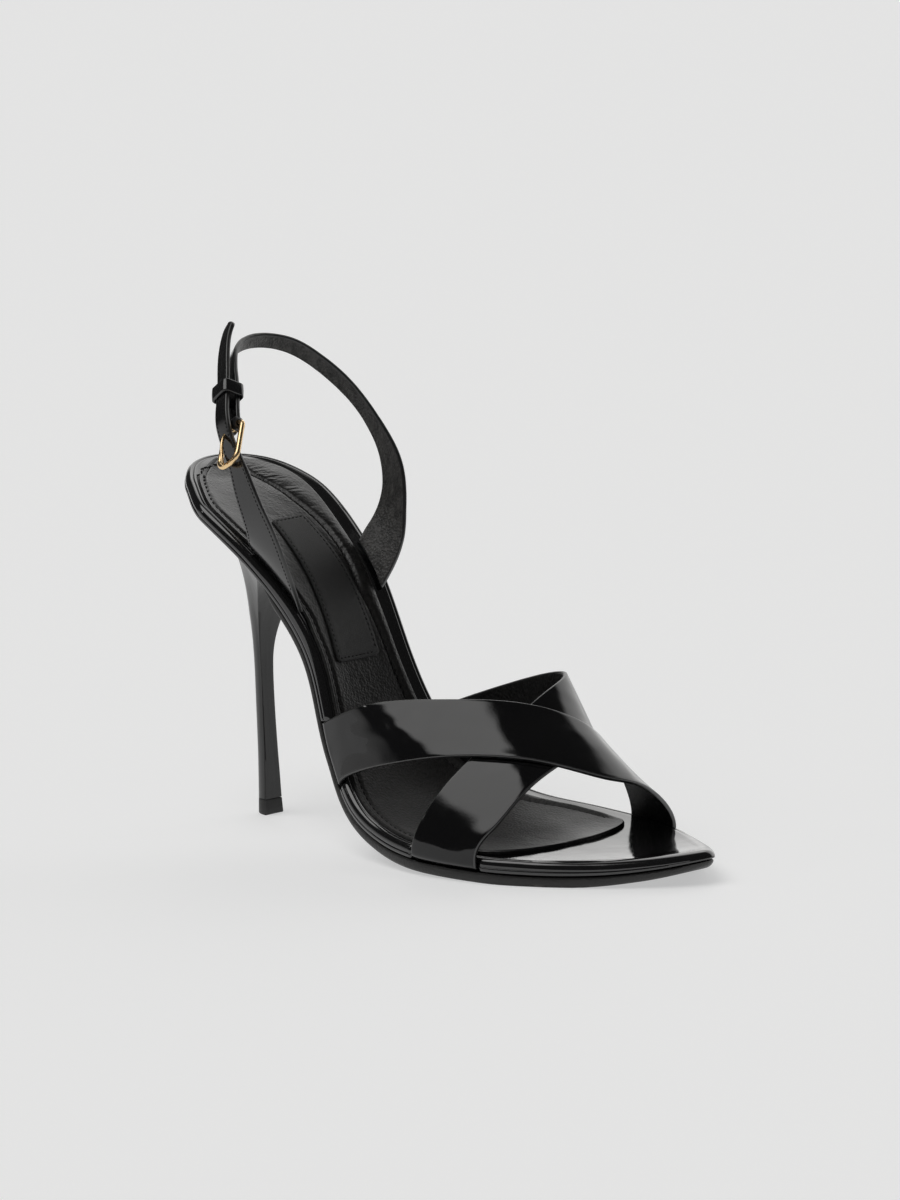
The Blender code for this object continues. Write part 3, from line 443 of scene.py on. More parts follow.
def make_piece(name, grids, finishes, sharp_deg, replaced):
    """Piece from grids of points in millimetres that meet along their borders, each with its finish."""
    vertices, faces, finish_of = [], [], []
    start = 0
    for grid, finish in grids:
        grid = np.asarray(grid, float)
        rows, across = grid.shape[:2]
        vertices.append(((grid - MIDDLE) * MM).reshape(-1, 3))
        i, j = np.meshgrid(np.arange(rows - 1), np.arange(across - 1), indexing="ij")
        corner = (start + i * across + j).ravel()
        faces += np.stack([corner, corner + 1, corner + across + 1, corner + across], -1).tolist()
        finish_of += np.broadcast_to(finish, (rows - 1, across - 1)).ravel().tolist()
        start += rows * across
    mesh = bpy.data.meshes.new(name)
    mesh.from_pydata(np.concatenate(vertices).tolist(), [], faces)
    mesh.polygons.foreach_set("material_index", finish_of)
    work = bmesh.new()
    work.from_mesh(mesh)
    bmesh.ops.remove_doubles(work, verts=work.verts, dist=2e-6)
    bmesh.ops.dissolve_degenerate(work, edges=work.edges, dist=1e-6)
    bmesh.ops.recalc_face_normals(work, faces=work.faces)
    work.to_mesh(mesh)
    work.free()
    mesh.shade_smooth()
    mesh.set_sharp_from_angle(angle=math.radians(sharp_deg))
    for finish in finishes:
        mesh.materials.append(finish)
    piece = add_object(name, mesh)
    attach(piece, "root")
    if replaced:
        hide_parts(*replaced)


def make_plain(name, grids, finish, sharp_deg, replaced):
    """Piece with one finish, in place of one solid."""
    make_piece(name, [(grid, 0) for grid in grids], [finish], sharp_deg, (replaced,))


def closed_rings(rings, closed_path=False):
    """Grid round a path of rings, and grids that close its ends."""
    rings = np.asarray(rings)
    around = np.concatenate([rings, rings[:, :1]], axis=1)
    if closed_path:
        return [np.concatenate([around, around[:1]])]
    caps = []
    for ring in (around[0], around[-1]):
        middle = ring[:-1].mean(axis=0)
        caps.append(np.stack([ring, np.broadcast_to(middle, ring.shape)]))
    return [around, *caps]


def layer_grids(outer, inner, top):
    outer, inner = np.array(outer), np.array(inner)
    bottom = np.stack([outer[-1], inner[-1]], axis=1)
    start = np.stack([outer[:, 0], inner[:, 0]], axis=1)
    end = np.stack([outer[:, -1], inner[:, -1]], axis=1)
    return [np.asarray(top), outer, inner, bottom, start, end]


# Bottom of the shoe.

def pocket_share(side, along):
    """1 where a band tucks in under this side's edge, 0 elsewhere."""
    share = np.zeros(np.shape(along))
    for ends in (OVER_ENDS, UNDER_ENDS):
        for band_side, rear, front in ends:
            if band_side == side:
                inside = within(rear - POCKET_REACH, front + POCKET_REACH, along)
                share = np.maximum(share, np.clip(1 + inside / POCKET_RAMP, 0, 1))
    return share


def make_cover(finish):
    """Patent cover of the insole: beaded rim, dipped top."""
    stations = end_spaced(0, FOOT_LENGTH, COVER_STEPS)
    inside = np.clip(within(*FULL_INSET, stations) / FULL_RAMP + 1, 0, 1)
    roll = step_between(*TOE_ROLL, stations)
    skive = smooth(*columns(TOE_SKIVE), stations)
    points = {}
    for side in ("outer", "inner"):
        share = pocket_share(side, stations)
        levels = []
        for (inset, depth), (toe_inset, toe_depth) in zip(COVER, TOE_COVER):
            plain = inset + (toe_inset - inset) * roll
            plain_depth = depth + (toe_depth - depth) * roll
            plain_depth = plain_depth - skive * np.clip(plain_depth / SKIVE_DEPTH - 1, 0, 1)
            if depth >= COVER_BOTTOM:
                plain = inset * inside + (MARGIN_NARROW + inset / 12) * (1 - inside)
            tucked_inset = max(inset, POCKET_INSET) if inset <= COVER[0][0] else inset
            tucked_depth = depth if inset >= COVER[-1][0] else min(depth, POCKET_DEPTH)
            along, y = inset_edge(side, stations, plain * (1 - share) + tucked_inset * share)
            levels.append(place(along, y, plain_depth * (1 - share) + tucked_depth * share))
        points[side] = levels
    top_inset = COVER[0][0] + (TOE_COVER[0][0] - COVER[0][0]) * roll
    outer_top = inset_edge("outer", stations, top_inset)
    inner_top = inset_edge("inner", stations, top_inset)
    share = np.linspace(0, 1, COVER_ACROSS)[None, :]
    along, y = (spread(low, high, share) for low, high in zip(outer_top, inner_top))
    top = place(along, y, dip_under(along, y))
    top[:, 0], top[:, -1] = points["outer"][0], points["inner"][0]
    grids = layer_grids(points["outer"], points["inner"], top)
    make_plain("insole_cover", grids, finish, 60, "insole")


def make_outsole(finish):
    stations = SOLE_START + (FOOT_LENGTH - SOLE_START) * np.sin(np.linspace(0, math.pi / 2, SOLE_STEPS))
    skive = smooth(*columns(TOE_SKIVE), stations)
    weight = smooth(*columns(SOLE_WEIGHT), stations) + SKIVE_FILL * skive
    draw = smooth(*columns(TOE_DRAW), stations)
    thinned = 1 - step_between(SOLE_START, SOLE_START + SOLE_TAPER, stations)
    weight = weight * (1 - SOLE_THINNED * thinned)
    points = {}
    for side in ("outer", "inner"):
        points[side] = []
        for inset, share in SOLE_EDGE:
            along, y = inset_edge(side, stations, inset + draw * share ** 2 + SOLE_TUCKED * thinned)
            along[0] = SOLE_START
            level = place(along, y, SOLE_TOP - skive + share * weight)
            level[:, 2] = np.maximum(level[:, 2], TREAD_LIFT * (1 - share))
            points[side].append(level)
    top = np.stack([points["outer"][0], points["inner"][0]], axis=1)
    grids = layer_grids(points["outer"], points["inner"], top)
    make_plain("outsole_leather", grids, finish, 50, "outsole")


def sock_edges(along):
    """Both edges of the sock lining, rounded off at its ends."""
    keys, outer_inset, inner_inset = columns(SOCK_EDGES)
    outer = edge_y("outer", along) + smooth(keys, outer_inset, along)
    inner = edge_y("inner", along) - smooth(keys, inner_inset, along)
    heel = np.clip((SOCK_REACH[0] + SOCK_ROUND[0] - along) / SOCK_ROUND[0], 0, 1)
    toe = np.clip((along - SOCK_REACH[1] + SOCK_ROUND[1]) / SOCK_ROUND[1], 0, 1)
    closing = np.sqrt(np.maximum(1 - heel ** 2.2, 0)) * np.sqrt(np.maximum(1 - toe ** 2.4, 0))
    middle, half = (outer + inner) / 2, (inner - outer) / 2 * closing
    return middle - half, middle + half


def inner_seam_y(along):
    keys, inset = columns(INNER_SEAM)
    return edge_y("inner", along) - smooth(keys, inset, along)


def sock_relief(along, y):
    """Height of the sock lining's padding, seams and gathers over its flat thickness."""
    outer, inner = sock_edges(along)
    seam = inner_seam_y(along)
    ends = step_between(SOCK_REACH[0] + 2, SOCK_REACH[0] + 12, along)
    ends = ends * (1 - step_between(SOCK_REACH[1] - 18, SOCK_REACH[1] - 8, along))
    roll = np.clip((y - seam) / np.maximum(inner - seam, 0.5), 0, 1)
    gathers = ripple(np.stack([along / 0.9 - y / 2.6, y / 4.0, 0 * y], -1), 1.0, 3)
    gathers = gathers * (1 - step_between(*GATHERS_END, along)) * swell(roll, 0.5)
    creases = ripple(np.stack([along / 4.5, y / 9.0, 0 * y], -1), 1.0, 5)
    rise = np.sin(np.pi * roll ** 0.8) * (ROLL_HEIGHT + GATHER_HEIGHT * gathers + CREASE_HEIGHT * creases)
    groove = SEAM_DEPTH * swell(y - seam, SEAM_WIDTH)
    outer_seam = OUTER_SEAM_DEPTH * swell(y - outer - OUTER_SEAM, SEAM_WIDTH)
    lip = LIP_DEPTH * swell(y - outer - LIP_INSET, LIP_WIDTH)
    soft = ripple(np.stack([along / 12.0, y / 9.0, 0 * y], -1), 1.0, 8)
    return (rise - groove) * ends - outer_seam - lip + PADDING_HEIGHT * soft


def sock_surface(along, y):
    height = SOCK_LIFT + SOCK_THICK + sock_relief(along, y)
    return place(along, y, dip_under(along, y) - height)


def make_sock(finish):
    """Leather sock lining with a stitched border and a gathered roll along its inner side."""
    stations = end_spaced(*SOCK_REACH, SOCK_STEPS)
    outer, inner = sock_edges(stations)
    turn = np.linspace(0, math.pi, SOCK_ACROSS)
    share = (0.15 * (1 - np.cos(turn)) / 2 + 0.85 * turn / math.pi)[None, :]
    along = np.broadcast_to(stations[:, None], (len(stations), share.shape[1]))
    y = spread(outer, inner, share)
    from_side = within(0, 1, share) * (inner - outer)[:, None] / SOCK_EDGE_WIDTH
    from_end = within(*SOCK_REACH, stations)[:, None] / SOCK_END_WIDTH
    drop = SOCK_EDGE_DROP * np.maximum(rounding(from_side), rounding(from_end))
    top = sock_surface(along, y) - footbed_normal(along) * drop[..., None]
    low_y = spread(outer, inner, np.linspace(0, 1, 9)[None, :])
    low_along = np.broadcast_to(stations[:, None], low_y.shape)
    bottom = place(low_along, low_y, dip_under(low_along, low_y) - SOCK_BOTTOM)
    sides = [np.stack([top[:, k], bottom[:, k]]) for k in (0, -1)]
    ends = [np.stack([top[k, ::SOCK_ACROSS - 1], bottom[k, ::8]]) for k in (0, -1)]
    make_plain("sock_leather", [top, bottom, *sides, *ends], finish, 60, "sock_lining")


def make_stitches(name, path, normals, stitch, finish):
    """Row of thread stitches along a path, as short raised loops, each lying a little askew."""
    length, gap, width, sink, slant = stitch
    path, normals = np.asarray(path), np.asarray(normals)
    run = run_of(path)
    grids = []
    turns = np.linspace(0, 2 * math.pi, STITCH_STEPS + 1)
    share = np.linspace(0, 1, STITCH_STEPS)
    arch = np.sqrt(np.clip(1 - (2 * share - 1) ** 2, 0, 1))[:, None]
    for start in np.arange(0.4, run[-1] - length, length + gap):
        at = start + length * share
        line = np.stack([np.interp(at, run, path[:, k]) for k in range(3)], -1)
        up = unit(np.stack([np.interp(at, run, normals[:, k]) for k in range(3)], -1))
        side = np.cross(unit(np.gradient(line, axis=0)), up)
        line = line + side * slant * (share - 0.5)[:, None]
        ring = []
        for turn in turns:
            reach = side * math.cos(turn) * width / 2 + up * math.sin(turn) * width * 0.42
            ring.append(line + reach * (0.25 + 0.75 * arch) + up * (arch * 0.12 - sink))
        grid = np.stack(ring, axis=1)
        grid[:, -1] = grid[:, 0]
        grids.append((grid, 0))
        for k in (0, -1):
            grids.append((np.stack([grid[k], np.broadcast_to(line[k] - up[k] * sink, grid[k].shape)]), 0))
    make_piece(name, grids, [finish], 60, ())


def make_sock_stitches(finish):
    outer_along = np.linspace(SEAM_HEEL, SEAM_TOE[0], 400)
    outer_y = sock_edges(outer_along)[0] + OUTER_SEAM
    inner_along = np.linspace(SEAM_HEEL, SEAM_TOE[1], 400)
    heel_turn = np.linspace(0, math.pi, 40)
    y0, y1 = outer_y[0], inner_seam_y(inner_along)[0]
    heel_y = (y0 + y1) / 2 - (y1 - y0) / 2 * np.cos(heel_turn)
    heel_along = SEAM_HEEL - SEAM_ROUND * np.sin(heel_turn) ** 0.7
    along = np.concatenate([outer_along[::-1], heel_along[1:-1], inner_along])
    y = np.concatenate([outer_y[::-1], heel_y[1:-1], inner_seam_y(inner_along)])
    make_stitches("sock_stitches", sock_surface(along, y), footbed_normal(along), SOCK_STITCH, finish)


def make_patch(finish, thread):
    """Bare patch, stitched down along its border."""
    keys, outer, inner = columns(PATCH)
    start, end = keys[0], keys[-1]
    stations = np.linspace(start, end, PATCH_STEPS)
    share = np.linspace(0, 1, PATCH_ACROSS)[None, :]
    from_end = within(start, end, stations)
    trim = PATCH_CORNER * rounding(from_end / PATCH_CORNER)
    low = np.interp(stations, keys, outer) + trim
    high = np.interp(stations, keys, inner) - trim
    along = np.broadcast_to(stations[:, None], (PATCH_STEPS, PATCH_ACROSS))
    y = spread(low, high, share)
    lift = SOCK_LIFT + SOCK_THICK + PATCH_LIFT
    edge = np.minimum(within(0, 1, share) * (high - low)[:, None], from_end[:, None])
    pressed = 0.12 * swell(edge - PATCH_SEAM, 0.4) + 0.25 * swell(edge, 0.3)
    top = place(along, y, dip_under(along, y) - lift - PATCH_THICK + pressed)
    bottom = place(along, y, dip_under(along, y) - lift + 0.25)
    sides = [np.stack([top[:, k], bottom[:, k]]) for k in (0, -1)]
    ends = [np.stack([top[k], bottom[k]]) for k in (0, -1)]
    make_plain("bare_patch", [top, bottom, *sides, *ends], finish, 50, "label_patch")
    inset = PATCH_SEAM
    run = np.linspace(start + inset, end - inset, 120)
    seams = (np.interp(run, keys, outer) + inset, np.interp(run, keys, inner) - inset)
    lines = [(run, seam) for seam in seams]
    lines += [(np.full(40, run[k]), np.linspace(seams[0][k], seams[1][k], 40)) for k in (0, -1)]
    for number, (along, y) in enumerate(lines):
        path = place(along, y, dip_under(along, y) - lift - 0.3)
        make_stitches("patch_stitches_%d" % number, path, footbed_normal(along), PATCH_STITCH, thread)


# Heel.

def with_breast(back):
    """Ring closed by the flat breast in front of a half ellipse."""
    share = np.linspace(1, 0, HEEL_BREAST + 2)[1:-1, None]
    return np.concatenate([back, back[:1] * (1 - share) + back[-1:] * share])


def heel_ring(height):
    """The heel's plain column at a height: half an ellipse behind a flat breast."""
    keys, breast, width, depth = columns(HEEL)
    x, w, d = (smooth(keys, column, height) for column in (breast, width, depth))
    turn = np.linspace(0, math.pi, HEEL_BACK)
    back = np.stack([x - d * np.sin(turn), HEEL_MIDDLE - w / 2 * np.cos(turn)], -1)
    return with_breast(back)


def seat_ring():
    """Where the heel meets the footbed's underside."""
    turn = np.linspace(0, math.pi, HEEL_BACK)
    along = SEAT_BREAST - (SEAT_BREAST - SEAT_INSET) * np.sin(turn)
    grid = end_spaced(0, FOOT_LENGTH, 400)
    ys = []
    for side in ("outer", "inner"):
        edge_along, y = inset_edge(side, grid, SEAT_INSET)
        ys.append(np.interp(along, edge_along, y))
    y = np.where(turn < math.pi / 2, ys[0], ys[1])
    y[HEEL_BACK // 2] = (ys[0][HEEL_BACK // 2] + ys[1][HEEL_BACK // 2]) / 2
    back = place(along, y, SOLE_TOP)
    return with_breast(back)


def with_seams(ring):
    """The heel's ring with a fine seam beside each corner of the breast, where its cover is turned in."""
    heart = ring.mean(axis=0)
    corners = []
    for corner, beyond in ((0, 3), (HEEL_BACK - 1, HEEL_BACK - 4)):
        along = unit(ring[beyond] - ring[corner])
        inward = heart - ring[corner]
        inward = unit(inward - along * (inward @ along))
        points = [ring[corner] + along * out + inward * depth for out, depth in HEEL_SEAM]
        corners.append(np.array(points))
    back = ring[3:HEEL_BACK - 3]
    return np.concatenate([corners[0], back, corners[1][::-1], ring[HEEL_BACK:]])


def make_heel(cover, rubber):
    seat = seat_ring()
    bottom = TOP_PIECE + 0.15
    rings = []
    for share in np.linspace(0, 1, HEEL_STEPS) ** 0.8:
        height = bottom + (seat[:, 2] - bottom) * share
        ring = np.zeros((len(seat), 3))
        for j, z in enumerate(height):
            column = heel_ring(np.array(z))[j]
            rise = np.clip((z - FLARE_START) / (seat[j, 2] - FLARE_START), 0, 1)
            flare = 1 - math.sqrt(1 - rise ** 2)
            ring[j, :2] = column + (seat[j, :2] - column) * flare
            ring[j, 2] = z
        rings.append(with_seams(ring))
    make_plain("covered_heel", closed_rings(rings), cover, 45, "heel")
    rings = []
    for height, inset in TOP_PIECE_SIDE:
        ring = heel_ring(np.array(height))
        middle = ring.mean(axis=0)
        reach = np.linalg.norm(ring - middle, axis=1)[:, None]
        ring = middle + (ring - middle) * (1 - inset / reach)
        rings.append(np.column_stack([ring, np.full(len(ring), height)]))
    make_plain("heel_tip", closed_rings(rings), rubber, 50, "heel_top_piece")


# Straps.

def rim_point(side, along, inset, depth):
    along = np.asarray(along, float)
    sign = -1 if side == "inner" else 1
    slope = edge_y(side, along + 0.5) - edge_y(side, along - 0.5)
    length = np.hypot(1, slope)
    return place(along - sign * slope / length * inset, edge_y(side, along) + sign * inset / length, depth)


ACROSS = np.linspace(0, 1, STRAP_ACROSS)


def rim_row(side, rear, front, inset, depth):
    return rim_point(side, rear + (front - rear) * ACROSS, inset, depth)


def leave_rim(side, along):
    fall = fall_at(along)
    splay = RIM_SPLAY if side == "inner" else -RIM_SPLAY
    return RIM_LEAVE * np.array([math.sin(fall), splay, math.cos(fall)])


def ruled(rear, front):
    return spread(rear, front, ACROSS[:, None])


def settle(rows, first=None, last=None):
    """Bends the ends of a strap's rows onto given rows, less and less over a short reach."""
    run = run_of(rows[:, len(ACROSS) // 2])
    settled = rows.copy()
    for given, index, distance in ((first, 0, run), (last, -1, run[-1] - run)):
        if given is not None:
            fade = np.clip(1 - distance / SETTLE_REACH, 0, 1) ** 2
            settled += fade[:, None, None] * (given - rows[index])
    return settled


def strap_normals(rows):
    return unit(np.cross(np.gradient(rows, ACROSS, axis=1), np.gradient(rows, axis=0)))


def strap_section(crown):
    """Points round a strap: share across, millimetres out, height, and face 0, lining 1 or edge 2."""
    corner = STRAP_CORNER
    edge = []
    for turn in np.radians((67.5, 45, 22.5, 0, -22.5, -45, -67.5)):
        level = math.copysign(STRAP_HALF - corner, turn) + corner * math.sin(turn)
        edge.append((corner * (math.cos(turn) - 1), level))
    points = [(t, corner * (1 - 2 * t), STRAP_HALF + crown * (1 - (2 * t - 1) ** 2), 0) for t in ACROSS]
    points += [(1, out, level, 2) for out, level in edge]
    points += [(t, corner * (1 - 2 * t), -STRAP_HALF, 1) for t in ACROSS[::-1]]
    points += [(0, -out, level, 2) for out, level in edge[::-1]]
    return points


def strap_point(rows, normals, share, height):
    """Points of a strap at a share across it, given for each row, and a height over its middle."""
    at = np.clip(share, 0, 1) * (len(ACROSS) - 1)
    low = np.minimum(at.astype(int), len(ACROSS) - 2)
    rest = (at - low)[:, None]
    row = np.arange(len(rows))
    point = rows[row, low] * (1 - rest) + rows[row, low + 1] * rest
    normal = normals[row, low] * (1 - rest) + normals[row, low + 1] * rest
    return point + normal * np.reshape(height, (-1, 1))


def make_strap(name, rows, finishes, replaced, crown=0.0, outer=1, waves=None):
    """Strap with a glossy face, a lining and rounded painted edges; outer turns its face out or in."""
    normals = strap_normals(rows) * outer
    width = np.linalg.norm(rows[:, -1] - rows[:, 0], axis=1)
    rings, sides = [], []
    for share, added, height, finish in strap_section(crown):
        lift = height if waves is None else height + waves(rows, share)
        rings.append(strap_point(rows, normals, share + added / width, lift * np.ones(len(rows))))
        sides.append(finish)
    around, start, end = closed_rings(np.stack(rings, axis=1))
    sides = [sides[j] if sides[j] == sides[(j + 1) % len(sides)] else 2 for j in range(len(sides))]
    make_piece(name, [(around, sides), (start, 2), (end, 2)], finishes, 60, replaced)
    return normals


def band_rows(table, ends):
    table = np.array(table, float)
    start, end = ends
    edges = []
    for k, first, last in ((0, start[:2], end[:2]), (3, start[::2], end[::2])):
        points = [rim_point(*first, RIM_INSET, RIM_DEPTH), *table[:, k:k + 3],
                  rim_point(*last, RIM_INSET, RIM_DEPTH)]
        keys = np.arange(len(points), dtype=float)
        at = np.linspace(0, keys[-1], BAND_STEPS)
        edges.append(through(keys, np.array(points), at, leave_rim(*first), -leave_rim(*last)))
    first, last = (rim_row(*side, RIM_INSET, RIM_DEPTH) for side in ends)
    free = settle(ruled(*edges), first, last)
    before = [rim_row(*start, *step) for step in TUCK]
    after = [rim_row(*end, *step) for step in TUCK[::-1]]
    return np.concatenate([before, free, after])


def spaced(table, steps):
    table = np.array(table, float)
    keys = run_of((table[:, :3] + table[:, 3:]) / 2)
    edges = through(keys, table, np.linspace(0, keys[-1], steps))
    return edges[:, :3], edges[:, 3:]


def make_bands(finishes):
    """Two crossed bands, the outer-heel to inner-toe one on top."""
    over = band_rows(BAND_OVER, OVER_ENDS)
    under = band_rows(BAND_UNDER, UNDER_ENDS)
    make_strap("band_over", over, finishes, ("upper",), 0.12)
    make_strap("band_under", under, finishes, ("upper",), 0.05)


def axes_of(up, forward):
    up, forward = unit(np.array(up)), np.array(forward)
    forward = unit(forward - up * (forward @ up))
    return up, forward, np.cross(forward, up)


def mirrored(row):
    row = list(row)
    row[1] = 2 * SLING_MIDDLE - row[1]
    row[4] = 2 * SLING_MIDDLE - row[4]
    return row


def turned(centre, axes, section, steps):
    """Ring round the buckle's bar, its section given as reach along the bar and radius from it."""
    up, forward, outward = axes
    rings = []
    for turn in np.linspace(0, 2 * math.pi, steps + 1)[:-1]:
        ray = up * math.cos(turn) + outward * math.sin(turn)
        rings.append([centre + forward * reach + ray * radius for reach, radius in section])
    return closed_rings(rings, True)


def make_sling(finishes):
    """Sling with its end turned round the buckle's bar, on both sides of the prong."""
    axes = axes_of(STRAP_UP, STRAP_FORWARD)
    up, forward = axes[:2]
    bar = np.array(BAR)
    rows = list(SLING) + [SLING_APEX] + [mirrored(row) for row in SLING[:-SLING_OUTER_ROWS - 1:-1]]
    half = EYE_WIDTH / 2
    for height in SLING_END:
        centre = bar + up * (EYE_INNER + height)
        rows.append([*(centre - forward * half), *(centre + forward * half)])
    rows = settle(ruled(*spaced(rows, SLING_STEPS)), rim_row(*SLING_FOOT))

    def creases(rows, share):
        points = strap_point(rows, np.zeros_like(rows), np.full(len(rows), float(share)), np.zeros(len(rows)))
        return 0.05 * ripple(points * (1, 1, 0.5), 2.2, 4)

    make_strap("sling_strap", rows, finishes, ("sling",), 0.0, -1, creases)
    for number, side in enumerate((-1, 1)):
        middle = bar + forward * side * (EYE_SLOT / 2 + (half - EYE_SLOT / 2) / 2)
        width = half - EYE_SLOT / 2 - 0.1
        section = [(width * across, radius) for across, radius in (
            (-0.5, EYE_INNER), (-0.5, EYE_OUTER - 0.2), (-0.4, EYE_OUTER), (0.4, EYE_OUTER),
            (0.5, EYE_OUTER - 0.2), (0.5, EYE_INNER))]
        make_plain("sling_eye_%d" % number, turned(middle, axes, section, 32), finishes[2], 50, "sling")


def make_billet(finishes, thread):
    rows = settle(ruled(*spaced(BILLET, BILLET_STEPS)), rim_row(*BILLET_FOOT))
    normals = make_strap("buckled_strap_leather", rows, finishes, ("buckled_strap",), 0.05)
    width = np.linalg.norm(rows[:, -1] - rows[:, 0], axis=1)
    chosen = slice(14, BILLET_STEPS - 14)
    for number, (share, inset) in enumerate(((0.0, STRAP_STITCH_INSET), (1.0, -STRAP_STITCH_INSET))):
        path = strap_point(rows, normals, share + inset / width, np.full(len(rows), STRAP_HALF + 0.02))
        make_stitches("strap_stitches_%d" % number, path[chosen], normals[chosen, STRAP_ACROSS // 2],
                      STRAP_STITCH, thread)


# Buckle.

def rod(line, radius, sides, closed, face):
    """Round bar along a line of points; radius may be given for each point."""
    line = np.asarray(line)
    run = np.roll(line, -1, 0) - np.roll(line, 1, 0) if closed else np.gradient(line, axis=0)
    run = unit(run)
    side = unit(np.cross(run, face))
    other = np.cross(run, side)
    radius = np.broadcast_to(radius, len(line))[:, None]
    turns = np.arange(sides) * 2 * math.pi / sides
    rings = np.stack([line + radius * (side * math.cos(t) + other * math.sin(t)) for t in turns], axis=1)
    return closed_rings(rings, closed)


def make_buckle(gold):
    """Plain rounded frame, its bar, and a prong."""
    axes = up, forward, outward = axes_of(STRAP_UP, STRAP_FORWARD)
    bar = np.array(BAR)
    down = -up * FRAME_ALONG + outward * FRAME_LIFT
    length = np.linalg.norm(down)
    down /= length
    centre = bar + down * length / 2
    points = []
    for side, end, start_deg in ((1, -1, -90), (1, 1, 0), (-1, 1, 90), (-1, -1, 180)):
        radius = FRAME_CORNER if end > 0 else FRAME_BAR_CORNER
        for k in range(16):
            turn = math.radians(start_deg + 6 * k)
            x = side * (FRAME_ACROSS / 2 - radius) + radius * math.cos(turn)
            y = end * (length / 2 - radius) + radius * math.sin(turn)
            points.append(centre + forward * x + down * y)
    face = np.cross(forward, down)
    make_plain("buckle_loop", rod(points, FRAME_RADIUS, 24, True, face), gold, 70, "buckle_frame")
    down_by, out_by = columns(PRONG)
    keys = np.arange(len(down_by), dtype=float)
    at = np.linspace(0, keys[-1], 60)
    line = through(keys, bar - np.outer(down_by, up) + np.outer(out_by, outward), at)
    share = at / keys[-1]
    radius = PRONG_RADIUS * (1 - 0.25 * share ** 3) * np.sqrt(np.clip((1.0 - share) / 0.03, 0.05, 1))
    make_plain("buckle_pin", rod(line, radius, 20, False, forward), gold, 70, "buckle_prong")
    section = [(math.sin(turn) * PRONG_WIDTH / 2, EYE_INNER + PRONG_RING * (1 + math.cos(turn)))
               for turn in np.radians(range(0, 360, 24))]
    make_plain("buckle_pin_ring", turned(bar, axes, section, 40), gold, 70, "buckle_prong")


def make_keeper(finish):
    up, forward, outward = axes_of(KEEPER_UP, KEEPER_FORWARD)
    centre = np.array(KEEPER) + outward * KEEPER_OUTWARD
    rings = []
    corner = KEEPER_CORNER
    for x, y, start_deg in ((1, 1, 0), (-1, 1, 90), (-1, -1, 180), (1, -1, 270)):
        for k in range(10):
            turn = math.radians(start_deg + 10 * k)
            ray = np.array([math.cos(turn), math.sin(turn)])
            heart = np.array([x * (KEEPER_HALF_WIDTH - corner), y * (KEEPER_HALF_DEPTH - corner)])
            ring = []
            for wall, level in KEEPER_WALL:
                point = heart + ray * (corner + wall)
                ring.append(centre + forward * point[0] + outward * point[1] + up * KEEPER_HEIGHT * level)
            rings.append(ring)
    make_plain("keeper_loop", closed_rings(rings, True), finish, 50, "keeper")


# Finishes.

class Field:
    """A number, vector or colour that varies over a surface: a node's output that can be reckoned with."""

    def __init__(self, nodes, socket):
        self.nodes = nodes
        self.socket = socket

    def reckon(self, operation, first, second):
        return self.nodes.node("ShaderNodeMath", {"operation": operation}, {0: first, 1: second})

    def __add__(self, other):
        return self.reckon("ADD", self, other)

    def __radd__(self, other):
        return self.reckon("ADD", other, self)

    def __sub__(self, other):
        return self.reckon("SUBTRACT", self, other)

    def __rsub__(self, other):
        return self.reckon("SUBTRACT", other, self)

    def __mul__(self, other):
        return self.reckon("MULTIPLY", self, other)

    def __rmul__(self, other):
        return self.reckon("MULTIPLY", other, self)


class Nodes:
    """The nodes of a material or of the studio's light."""

    def __init__(self, tree):
        self.tree = tree

    def node(self, kind, settings=None, sockets=None, output=0):
        made = self.tree.nodes.new(kind)
        for name, value in (settings or {}).items():
            setattr(made, name, value)
        for name, value in (sockets or {}).items():
            if isinstance(value, Field):
                self.tree.links.new(value.socket, made.inputs[name])
            elif value is not None:
                made.inputs[name].default_value = value
        return Field(self, made.outputs[output])

    def between(self, value, low, high, start=0.0, end=1.0):
        settings = {"interpolation_type": "SMOOTHSTEP", "clamp": True}
        return self.node("ShaderNodeMapRange", settings, {0: value, 1: low, 2: high, 3: start, 4: end})


def opaque(tone):
    """Colour for a socket from a grey or from red, green and blue."""
    return (*np.broadcast_to(tone, 3).tolist(), 1)


